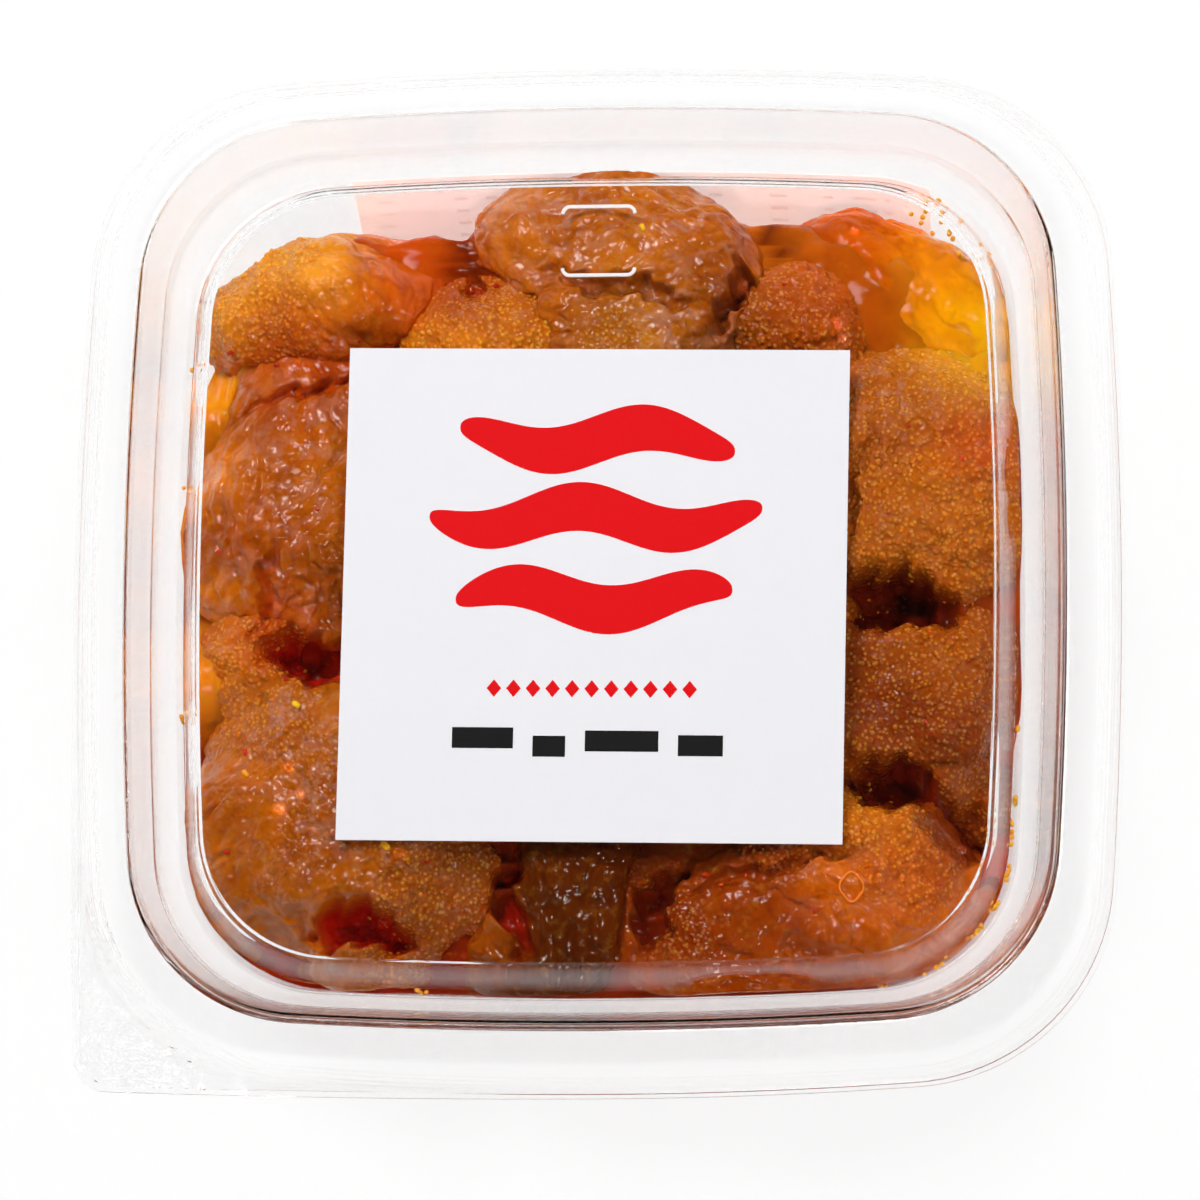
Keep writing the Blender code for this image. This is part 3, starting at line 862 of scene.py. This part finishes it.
def settle(sacs, closed):
    """Raises the flanks of the sacs, so that neighbours meet in narrow creases, and sinks the wells."""
    for sac in sacs:
        points = coordinates(sac.data)
        gap = look_up(closed, points) - points[:, 2] - 0.6 * MM
        well = well_depth(points)
        dry = 1 - np.clip(well / (5 * MM), 0, 1)
        fade = np.clip((points[:, 2] - 4 * MM) / (6 * MM), 0, 1)
        points[:, 2] += FLANK_LIFT * np.clip(gap, 0, 9 * MM) * dry * fade
        points[:, 2] -= np.minimum(well, points[:, 2] - 3 * MM) * fade
        move(sac.data, points)


def colour_roe(sacs, closed):
    """Paints each sac's colour, the turns of colour over the heap, its wet film, partly a painted
    highlight, and painted shade on its low flanks.
    """
    for sac, (colour, _grain, film, _folds, _turn, _swell, _slot) in zip(sacs, SACS.values()):
        points = coordinates(sac.data)
        paint(sac.data, "tint", np.clip(blend(points, colour, 0.30, TINTS) * TINT_GAIN, 0, 1))
        wet = film * 0.5
        for centre, radius, strength in FILMS:
            wet = wet + falls(points, centre, radius) * strength
        weigh(sac.data, "film", np.clip(wet, 0, 1))
        # painted shade: points low under the heap's closed face, and in the wells, are mixed towards the
        # marinade's dark red
        below = look_up(closed, points) - points[:, 2]
        below = np.clip((below - 1.2 * MM) / (5 * MM), 0, 1) * 0.9
        well = np.clip(well_depth(points) / (6 * MM), 0, 0.93)
        weigh(sac.data, "low", np.maximum(below, well))
        left = np.clip(-points[:, :1] / (20 * MM), 0, 1)
        paint(sac.data, "deep", MARINADE_RED_AND_SHADE_RIGHT * (1 - left) + MARINADE_RED_AND_SHADE_LEFT * left)


# The heap's face and the marinade

FIELD_CELL = 0.5 * MM
FIELD_HALF = 54.0 * MM
CLOSING = 6.0 * MM
FLANK_LIFT = 0.65
POOL_DROP = 2.6 * MM
POOL_WALL_LEVEL = 20.0 * MM
POOL_BACK_LEVEL = 8.0 * MM
POOL_BACK_EDGE = 47.5 * MM
POOL_BACK_START = 36.0 * MM
POOL_OUTLINE_HEIGHT = 0.018
# Painted shade: the marinade's colour deep in the gaps under the heap's closed face
POOL_GAP_SHADE = np.array((0.10, 0.004, 0.001))
POOL_BODY = np.array((0.62, 0.11, 0.004))

# Wells between the sacs, darkened with painted shade, in mm: centre, half lengths, turn in degrees and
# depth
WELLS = (
    ((36.5, -3), (6.5, 3.2), -12, 9), ((35.5, -26), (6, 2.6), -20, 7), ((44.5, -31), (4, 4), 0, 4),
    ((-36, -9.6), (5, 2.8), -8, 6), ((-29.4, -43.6), (5.8, 2.5), -4, 8), ((-10.5, -40), (1.6, 7), 10, 5),
    ((7.5, -41), (1.8, 6), -25, 4), ((-16.5, 37.5), (2.0, 1.0), 60, 2.5), ((16.5, 35), (1.2, 5), -15, 4),
    ((3, 36), (9, 1.2), -12, 2.2), ((-38, 24), (7, 1.0), 20, 1.5), ((32, 12), (8, 1.0), 75, 1.2),
    ((-41, -2), (1.0, 6), -20, 1.5), ((22, -37), (9, 1.0), 12, 1.5),
)

# Smooth jelly that stands higher than the rest of the marinade, in mm: centre, radius and level
MOUNDS = (
    ((29, 38.5), 8.5, 26.0), ((37, 35), 9, 26.5), ((44, 27), 6, 26.0), ((39, 41.5), 5, 24.0),
    ((43, 37), 4.5, 25.0), ((-23, 41), 6, 27.0), ((-14, 43.5), 5, 26.5), ((-30, 43), 4, 25.5),
    ((22, 43), 5.5, 25.5), ((16, 44.5), 4, 25.0), ((46.5, 4), 4, 25.0), ((47, -14), 4, 24.0),
    ((-48.5, 22), 3.5, 26.0), ((-49, 6), 3.5, 26.0), ((-49, -12), 3.5, 26.0),
)

# The marinade's colours: x, y and radius in mm, and the colour; the dark reds at the wells' places are
# partly painted shade
POOL_TINTS = (
    (47, 31, 7, 1.0, 0.4, 0.004), (40, 43, 5, 0.85, 0.28, 0.008), (32, 38, 9, 0.48, 0.08, 0.001),
    (22, 43, 7, 0.62, 0.14, 0.003), (-22, 42, 8, 0.58, 0.075, 0.001), (-16, 36, 4, 0.3, 0.016, 0.001),
    (-50, 25, 4, 1.0, 0.34, 0.005), (-50, 8, 4, 0.95, 0.29, 0.006), (-50, -10, 4, 0.95, 0.3, 0.008),
    (-48, -38, 6, 0.56, 0.05, 0.001), (46, -34, 7, 0.42, 0.035, 0.001), (49, 0, 5, 0.5, 0.07, 0.001),
    (49, -18, 5, 0.5, 0.07, 0.001), (35, -2, 8, 0.05, 0.002, 0.001), (34, -26, 7, 0.08, 0.002, 0.001),
    (-36, -9.6, 6, 0.46, 0.003, 0.001), (-29.5, -43.6, 6, 0.34, 0.004, 0.001),
)


def spread(field, radius, pick):
    """Each cell's highest or lowest neighbour within a radius."""
    cells = int(round(radius / FIELD_CELL))
    wide = np.pad(field, cells, mode="edge")
    size = field.shape[0]
    made = field.copy()
    for right in range(-cells, cells + 1):
        reach = int(math.sqrt(cells * cells - right * right))
        for up in range(-reach, reach + 1):
            part = wide[cells + right:cells + right + size, cells + up:cells + up + size]
            made = pick(made, part)
    return made


def blur(field, rounds):
    for _ in range(rounds):
        wide = np.pad(field, 1, mode="edge")
        field = (wide[:-2, 1:-1] + wide[2:, 1:-1] + wide[1:-1, :-2] + wide[1:-1, 2:] + 2 * field) / 6
    return field


def look_up(field, points):
    """The field's value at plan points, between its cells."""
    size = field.shape[0] - 1.001
    u, v = np.clip((points[:, :2].T + FIELD_HALF) / FIELD_CELL, 0, size)
    i, j = u.astype(int), v.astype(int)
    a, b = u - i, v - j
    low = field[i, j] * (1 - a) + field[i + 1, j] * a
    high = field[i, j + 1] * (1 - a) + field[i + 1, j + 1] * a
    return low * (1 - b) + high * b


def height_at(heap, x, y):
    """The heap's height in mm at a place in mm."""
    return float(look_up(heap, np.array([[x * MM, y * MM]]))[0]) / MM


def heap_fields(sacs):
    """The height of the heap's face, and that height with its gaps closed."""
    size = int(2 * FIELD_HALF / FIELD_CELL) + 1
    height = np.zeros((size, size))
    for sac in sacs:
        points = coordinates(sac.data)
        index = np.rint((points[:, :2] + FIELD_HALF) / FIELD_CELL).astype(int)
        index = np.clip(index, 0, size - 1)
        np.maximum.at(height, (index[:, 0], index[:, 1]), points[:, 2])
    height = spread(spread(height, FIELD_CELL, np.maximum), FIELD_CELL, np.minimum)
    closed = spread(spread(height, CLOSING, np.maximum), CLOSING, np.minimum)
    return height, blur(closed, 6)


def marinade_material():
    nodes = Shader("marinade")
    place = nodes.place()
    tint = nodes.painted("tint", "Color")
    cloud = nodes.noise(place, 130.0, 3.0, 0.6)
    fleck = nodes.noise(place, 900.0, 3.0, 0.6)
    shade = nodes.mix(cloud.ramp(0.45, 0.70) * 0.6, tint, nodes.times(tint, (0.60, 0.40, 0.30)))
    shade = nodes.mix(fleck.ramp(0.60, 0.75) * 0.15, shade, (0.85, 0.28, 0.01))
    bump = nodes.bump(cloud + fleck * 0.15, 0.35, 0.5 * MM)
    more = {"Specular IOR Level": 0.18, "Normal": bump}
    return nodes.fleshy(shade, 0.08, 1.36, 0.6, (1.0, 0.30, 0.05), 3.0, **more)


def pool_level(closed, plan, at_wall=False):
    """The height of the marinade's face, lower at the back wall, with mounds of jelly and wells."""
    x, y = plan[:, 0], plan[:, 1]
    edge = np.where(y > 0, excess(plan, POOL_BACK_EDGE, 20 * MM, SIDE_BOW_RADIUS), -9 * MM)
    share = np.clip(-edge / (6 * MM), 0, 1)
    share = np.where(np.abs(x) > y, np.maximum(share, np.clip((34 * MM - y) / (6 * MM), 0, 1)), share)
    base = POOL_BACK_LEVEL + (POOL_WALL_LEVEL - POOL_BACK_LEVEL) * share * share * (3 - 2 * share)
    height = np.maximum(base, look_up(closed, plan) - POOL_DROP)
    for centre, radius, top in MOUNDS:
        right, up = x / MM - centre[0], y / MM - centre[1]
        turn = np.arctan2(up, right)
        ragged = 1 + 0.07 * np.sin(5 * turn + centre[0]) + 0.05 * np.sin(11 * turn + centre[1])
        ragged = radius * ragged
        mound = base + (top * MM - base) * np.exp(-((right**2 + up**2) / ragged**2) ** 3)
        height = np.maximum(height, mound)
    height = height - well_depth(plan)
    if at_wall:
        height = np.where(y > POOL_BACK_START, base, height)
    return height + 0.2 * MM * np.sin(x * 310 + 1.3) * np.cos(y * 270 + 0.4)


def build_marinade(material, heap, closed):
    """The marinade: one closed piece from the floor up, whose rim reaches just into the tub's wall."""
    wall = tub_inner_steps()
    into = 0.06 * MM

    def half_at(height):
        return np.interp(height, wall[2:4, 1], wall[2:4, 0]) + into

    def wall_ring(height):
        return np.array([ring(half)[index] for index, half in enumerate(half_at(height))])

    across = 200
    outline = plan = ring(half_at(POOL_OUTLINE_HEIGHT))
    count = len(outline)
    for _ in range(4):
        height = pool_level(closed, plan, True)
        plan = wall_ring(height)
    edge = np.column_stack([plan, height])
    points = [edge]
    for step in range(across - 1, 0, -1):
        plan = outline * (step / across)
        points.append(keep_inside(np.column_stack([plan, pool_level(closed, plan)])))
    side = []
    for drop in np.linspace(0.0, 1.0, 12)[1:]:
        height = edge[:, 2] * (1 - drop) + (WALL + BASE_FILLET) * drop
        side.append(np.column_stack([wall_ring(height), height]))
    for half, height in wall[1::-1]:
        side.append(np.column_stack([ring(half + into), np.full(count, height - into)]))
    rows = side[::-1] + points
    top = float(pool_level(closed, np.zeros((1, 2)))[0])
    stacked = np.concatenate([*rows, [[0, 0, top]]])
    last = (len(rows) - 1) * count
    faces = [face for low in range(0, last, count) for face in band(low, low + count, count)]
    faces.append(tuple(range(count))[::-1])
    faces += [(last + index, last + (index + 1) % count, last + count) for index in range(count)]
    pool = mesh_object("marinade", stacked, faces, material)
    xyz = coordinates(pool.data)
    # painted shade: the marinade darkens where it lies deep in the gaps, away from the walls
    deep = look_up(closed - heap, xyz)
    inward = np.abs(xyz[:, :2]).max(1) < 46 * MM
    dark = (np.clip((deep - 1 * MM) / (5 * MM), 0, 0.8) * inward)[:, None]
    tints = blend(xyz, (0.26, 0.020, 0.001), 0.15, POOL_TINTS) * (1 - dark) + POOL_GAP_SHADE * dark
    body = np.clip((20 * MM - xyz[:, 2:]) / (9 * MM), 0, 1)
    body = body * np.clip((50 * MM - xyz[:, 1:2]) / (10 * MM), 0, 1)
    paint(pool.data, "tint", tints * (1 - body) + POOL_BODY * body)
    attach(pool, "root")
    return pool


# Loose eggs

def egg_tree():
    """Loose eggs scattered over grainy faces."""
    nodes = Shape("loose eggs", {"Seed": "Int"})
    given = nodes.given
    radius = EGG / 2
    place = nodes.add("GeometryNodeInputPosition")
    up = nodes.part(nodes.add("GeometryNodeInputNormal"), "Z").ramp(0.0, 0.35)
    high = nodes.part(place, "Z").ramp(15 * MM, 19 * MM)
    clump = nodes.noise(place, 420.0).ramp(0.42, 0.66)
    scatter = nodes.add("GeometryNodeDistributePointsOnFaces", {
        "Mesh": given["Geometry"],
        "Distance Min": radius * 1.7,
        "Density Max": EGGS_PER_AREA,
        "Density Factor": nodes.weight("grain").ramp(0.3, 0.8) * up * high * clump,
        "Seed": given["Seed"],
    }, distribute_method="POISSON")
    facing = Value(nodes, scatter.socket.node.outputs["Normal"])
    sunk = nodes.vector("SCALE", facing, Scale=radius * -0.35)
    points = nodes.add("GeometryNodeSetPosition", {"Geometry": scatter, "Offset": sunk})
    ball = nodes.add("GeometryNodeMeshIcoSphere", {"Radius": radius, "Subdivisions": 2})
    ball = nodes.add("GeometryNodeSetShadeSmooth", {"Geometry": ball})

    def chance(low, high, seed):
        return nodes.add("FunctionNodeRandomValue", {2: low, 3: high, "Seed": seed}, 1, data_type="FLOAT")

    size = chance(0.75, 1.08, given["Seed"])
    on = nodes.add("GeometryNodeInstanceOnPoints", {"Points": points, "Instance": ball, "Scale": size})
    tone = chance(0.0, 1.0, given["Seed"] + 7.0)
    return nodes.finish(nodes.store(on, "tone", tone, "INSTANCE"))


def egg_material():
    nodes = Shader("roe eggs")
    tint = nodes.painted("tint", "Color")
    cloud = nodes.noise(nodes.place(), 160.0)
    shade = nodes.mix(nodes.painted("tone") * 0.22, tint, (0.95, 0.48, 0.08))
    shade = nodes.mix(cloud.ramp(0.5, 0.7) * 0.4, shade, tint)
    return nodes.fleshy(shade, 0.08, 1.37, 0.5, (1.0, 0.4, 0.12), 0.8)


def build_eggs(sacs, material):
    """Loose eggs on the grainy sacs."""
    tree = egg_tree()
    for order, (sac, (*_values, slot)) in enumerate(zip(sacs, SACS.values()), 1):
        eggs = link(sac.name.replace("_face", "_eggs"), sac.data.copy())
        run_tree(eggs, tree, {"Seed": order, "Material": material})
        if not eggs.data.polygons:
            bpy.data.objects.remove(eggs)
            continue
        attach(eggs, "root")


# Chili flakes, eggs on the wall, and drops

# Each fleck of chili: its place and size in mm, and its colour
FLECKS = (
    (-43.5, -21.5, 1.0, (0.55, 0.02, 0.002)), (-43.2, -24.5, 1.1, (0.85, 0.33, 0.01)),
    (-37.0, -16.0, 1.2, (0.95, 0.56, 0.01)), (-38.5, -12.5, 0.7, (0.45, 0.012, 0.002)),
    (-25.5, -34.2, 1.4, (0.9, 0.4, 0.008)), (13.5, -37.5, 1.1, (0.5, 0.03, 0.002)),
    (15.5, -39.0, 0.8, (0.55, 0.04, 0.002)), (18.5, -38.0, 0.7, (0.45, 0.02, 0.002)),
    (-13.0, 37.5, 0.9, (0.38, 0.01, 0.001)), (5.5, 43.8, 1.0, (0.95, 0.52, 0.01)),
    (-40.5, 28.0, 0.8, (0.42, 0.015, 0.002)), (-46.5, 30.0, 0.9, (0.48, 0.02, 0.002)),
    (-30.0, 30.5, 0.6, (0.4, 0.01, 0.001)), (38.5, 18.0, 0.6, (0.5, 0.03, 0.002)),
    (45.0, 14.0, 0.8, (0.62, 0.06, 0.003)), (40.5, -19.0, 0.7, (0.42, 0.012, 0.002)),
    (-45.5, -34.0, 0.8, (0.5, 0.02, 0.002)), (-20.5, -36.0, 0.6, (0.4, 0.012, 0.001)),
    (27.0, -42.5, 0.8, (0.48, 0.02, 0.002)), (42.0, -38.5, 0.7, (0.55, 0.04, 0.002)),
    (-47.0, 3.5, 0.8, (0.5, 0.025, 0.002)), (23.0, 37.0, 0.6, (0.42, 0.014, 0.001)),
    (-34.5, 8.0, 0.6, (0.45, 0.014, 0.001)), (36.0, 7.0, 0.5, (0.45, 0.014, 0.001)),
)

# Each bubble or drop: its place and radius in mm
BUBBLES = (
    (-29.0, -43.2, 0.75), (-26.4, -42.6, 0.65), (17.6, 37.6, 0.85), (29.5, 31.8, 0.75), (30.2, 30.2, 0.6),
    (-16.5, -46.0, 0.6), (-36.2, -27.5, 0.6), (-38.8, -29.2, 0.8), (-37.6, -24.0, 0.7), (36.0, -1.5, 0.6),
    (37.8, -2.2, 0.5), (-34.5, -9.0, 0.55), (44.5, -33.5, 0.7), (31.5, 45.0, 0.6), (-24.0, -34.8, 0.9),
)


def unit_ball():
    form = bmesh.new()
    bmesh.ops.create_icosphere(form, subdivisions=2, radius=1.0)
    points = np.array([vert.co[:] for vert in form.verts])
    faces = [[vert.index for vert in face.verts] for face in form.faces]
    form.free()
    return points, faces


BALL, BALL_FACES = unit_ball()


def add_ball(points, faces, shape):
    """Adds a ball whose points have been brought to a shape in mm."""
    faces += [tuple(len(points) + index for index in face) for face in BALL_FACES]
    points += list(shape * MM)


def flake_material():
    nodes = Shader("chili flake")
    return nodes.fleshy(nodes.painted("tint", "Color"), 0.12, 1.40, 0.3, (1.0, 0.3, 0.1), 0.4)


def build_flecks(material, heap):
    """Flakes of chili on the heap, and one curled ring of it."""
    chance = random.Random(5)
    points, faces, colours = [], [], []
    for x, y, size, colour in FLECKS:
        turn = chance.uniform(0, math.pi)
        flat = BALL * (0.5 * size, 0.32 * size, 0.20 * size)
        flat = flat * (1 + 0.25 * np.sin(BALL[:, :1] * 5 + turn) * np.cos(BALL[:, 1:2] * 4))
        right, up = spin(flat[:, 0], flat[:, 1], turn)
        centre = np.array((x, y, height_at(heap, x, y)))
        add_ball(points, faces, np.column_stack([right, up, flat[:, 2]]) + centre)
        colours += [colour] * len(BALL)
    base, around, across = len(points), 40, 8
    for step in range(around):
        angle = 2 * math.pi * step / around
        wide = 1.7 + 0.12 * math.cos(4 * angle)
        for part in range(across):
            lean = 2 * math.pi * part / across
            out = wide + 0.17 * math.cos(lean)
            x, y = 31.4 + out * math.cos(angle) * 0.8, -39.5 + out * math.sin(angle)
            top = height_at(heap, x, y)
            points.append(np.array((x, y, top + 0.08 + 0.15 * math.sin(lean))) * MM)
            colours.append((0.95, 0.230, 0.010))
        faces += band(base + step * across, base + (step + 1) % around * across, across)
    points = np.array(points)
    points[:, 2] = np.minimum(points[:, 2], CONTACT_HEIGHT + 0.1 * MM)
    flecks = mesh_object("chili_flakes", points, faces, material)
    paint(flecks.data, "tint", np.array(colours))
    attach(flecks, "root")


# Clusters of eggs stuck to the tub's wall: place in mm, how many eggs and how far apart in mm
WALL_CLUSTERS = (
    ((52.0, -28.4, 26.5), 6, 0.8), ((51.0, -32.3, 25.0), 9, 0.9), ((50.5, -37.3, 25.0), 9, 1.0),
    ((48.5, -41.0, 25.0), 6, 0.9), ((46.5, -43.8, 24.0), 8, 1.0), ((42.5, -47.0, 23.5), 9, 1.3),
    ((52.5, -19.0, 27.0), 3, 0.6), ((36.0, -50.5, 23.0), 6, 1.2), ((20.0, -51.5, 24.0), 4, 1.2),
    ((-22.0, -51.0, 23.0), 4, 1.0), ((40.5, 47.5, 26.5), 9, 1.1), ((43.5, 45.0, 26.0), 9, 1.1),
    ((46.5, 42.0, 25.0), 7, 0.9), ((-51.5, 12.0, 27.0), 4, 0.7), ((-51.5, -17.0, 26.0), 6, 0.8),
    ((-50.5, 28.0, 27.0), 3, 0.6),
)


def build_wall_eggs(material):
    """Small clusters of eggs that stick to the inside of the tub's wall."""
    chance = random.Random(11)
    points, faces = [], []
    for place, count, gap in WALL_CLUSTERS:
        for _ in range(count):
            radius = chance.uniform(0.26, 0.40)
            centre = [value + chance.gauss(0, gap) * 0.8 for value in place]
            centre = keep_inside(np.array([centre]) * MM)[0] / MM
            centre[:2] *= 1 - (radius * 0.8) / np.hypot(centre[0], centre[1])
            add_ball(points, faces, BALL * radius + centre)
    eggs = mesh_object("wall_eggs", points, faces, material)
    paint(eggs.data, "tint", np.tile((1.0, 0.42, 0.035), (len(points), 1)))
    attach(eggs, "root")


def drop_material():
    nodes = Shader("clear drops")
    cloud = nodes.noise(nodes.place(), 200.0, 1.0)
    shade = nodes.mix(cloud, (1.0, 0.90, 0.75), (1.0, 0.82, 0.60))
    sockets = {"Base Color": shade, "Roughness": 0.03, "IOR": 1.34}
    return nodes.clear(sockets, (1.0, 0.92, 0.82), "Is Shadow Ray")


def build_bubbles(material, heap):
    """Small clear bubbles and drops on the marinade and the sacs."""
    points, faces = [], []
    for x, y, radius in BUBBLES:
        height = min(height_at(heap, x, y) + 0.15 * radius, CONTACT_HEIGHT / MM - 0.8 * radius)
        add_ball(points, faces, BALL * (radius, radius, radius * 0.8) + (x, y, height))
    bubbles = mesh_object("bubbles", points, faces, material)
    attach(bubbles, "root")


# Floor, light and camera

def build_stage():
    nodes = Shader("white floor")
    cloud = nodes.noise(nodes.place(), 3.0)
    floor = nodes.opaque({
        "Base Color": nodes.mix(cloud, (0.125, 0.125, 0.125), (0.12, 0.12, 0.12)),
        "Roughness": 0.7,
        "Specular IOR Level": 0.0,
        "Emission Color": (1.0, 1.0, 1.0, 1.0),
        "Emission Strength": 0.87,
    })
    mesh = bpy.data.meshes.new("floor")
    wide = 3.0
    corners = [(-wide, -wide, 0), (wide, -wide, 0), (wide, wide, 0), (-wide, wide, 0)]
    mesh.from_pydata(corners, [], [(0, 1, 2, 3)])
    link("floor", mesh, floor)


def add_light(name, place, size, power):
    """A soft square light that points at the tub."""
    data = bpy.data.lights.new(name, "AREA")
    data.shape = "RECTANGLE"
    data.size, data.size_y = size
    data.energy = power
    lamp = link(name, data)
    lamp.location = place
    lamp.rotation_euler = (Vector((0, 0, 0.02)) - Vector(place)).to_track_quat("-Z", "Y").to_euler()


def build_light():
    """A white room with a dark ceiling, and three soft lights round the view."""
    world = bpy.data.worlds.new("studio")
    bpy.context.scene.world = world
    world.use_nodes = True
    world.node_tree.nodes.clear()
    nodes = Nodes(world.node_tree)
    up = nodes.part(nodes.add("ShaderNodeTexCoord", output="Generated"), "Z")
    strength = 0.90 - up.ramp(0.05, 0.25) * 0.87
    room = nodes.add("ShaderNodeBackground", {"Color": (1.0, 1.0, 1.0, 1.0), "Strength": strength})
    nodes.add("ShaderNodeOutputWorld", {"Surface": room})
    add_light("back left softbox", (-0.30, 0.47, 0.80), (0.40, 0.30), 7.4)
    add_light("right softbox", (0.55, 0.10, 0.78), (0.20, 0.24), 2.6)
    add_light("front softbox", (0.05, -0.52, 0.76), (0.20, 0.16), 1.8)
    scene = bpy.context.scene
    scene.view_settings.view_transform = "Standard"
    scene.view_settings.look = "None"
    scene.view_settings.exposure = 0.0
    scene.cycles.max_bounces = 28
    scene.cycles.transmission_bounces = 28
    scene.cycles.glossy_bounces = 12
    scene.cycles.diffuse_bounces = 2
    scene.cycles.transparent_max_bounces = 16
    scene.cycles.adaptive_threshold = 0.1
    scene.cycles.adaptive_min_samples = 8


def build_camera():
    """The photo's view: from the front, 77 degrees above the table, far enough to be nearly flat."""
    lean, roll, turn = (math.radians(v) for v in (-12.5, -4.0, 0.5))
    spin = Matrix.Rotation(turn, 3, "Z") @ Matrix.Rotation(roll, 3, "Y") @ Matrix.Rotation(lean, 3, "X")
    shift = Vector((-0.313, 2.911, -924.66)) * MM
    place = -(spin.transposed() @ shift) + Vector((0, 0, LIP_HEIGHT))
    data = bpy.data.cameras.new("photo camera")
    data.sensor_width = 36
    data.lens = 225.0
    data.clip_end = 10
    camera = link("photo camera", data)
    camera.matrix_world = Matrix.Translation(place) @ spin.transposed().to_4x4()
    bpy.context.scene.camera = camera


def main():
    build_camera()
    build_light()
    build_stage()
    pebbled = clear_plastic("pebbled plastic", True)
    build_lid(clear_plastic("clear lid plastic", False), pebbled)
    build_tub(clear_plastic("clear tub plastic", False), pebbled)
    build_mark(frosted_plastic_with_painted_highlight())
    for node, material in (
        ("lid_label", paper("label paper", (0.79, 0.78, 0.81), 0.6, False)),
        ("back_label", paper("back label paper", (0.82, 0.74, 0.71), 0.6, True, 0.8)),
    ):
        label = frame["nodes"][node]
        for slot in label.material_slots:
            slot.material = material
    build_print()
    sacs = build_roe(roe_material("wet roe", 0.34), roe_material("roe jelly", 0.12))
    heap, closed = heap_fields(sacs)
    settle(sacs, closed)
    heap, _again = heap_fields(sacs)
    colour_roe(sacs, closed)
    pool = build_marinade(marinade_material(), heap, closed)
    heap, _again = heap_fields(sacs + [pool])
    loose = egg_material()
    build_eggs(sacs, loose)
    build_wall_eggs(loose)
    build_flecks(flake_material(), heap)
    build_bubbles(drop_material(), heap)


main()
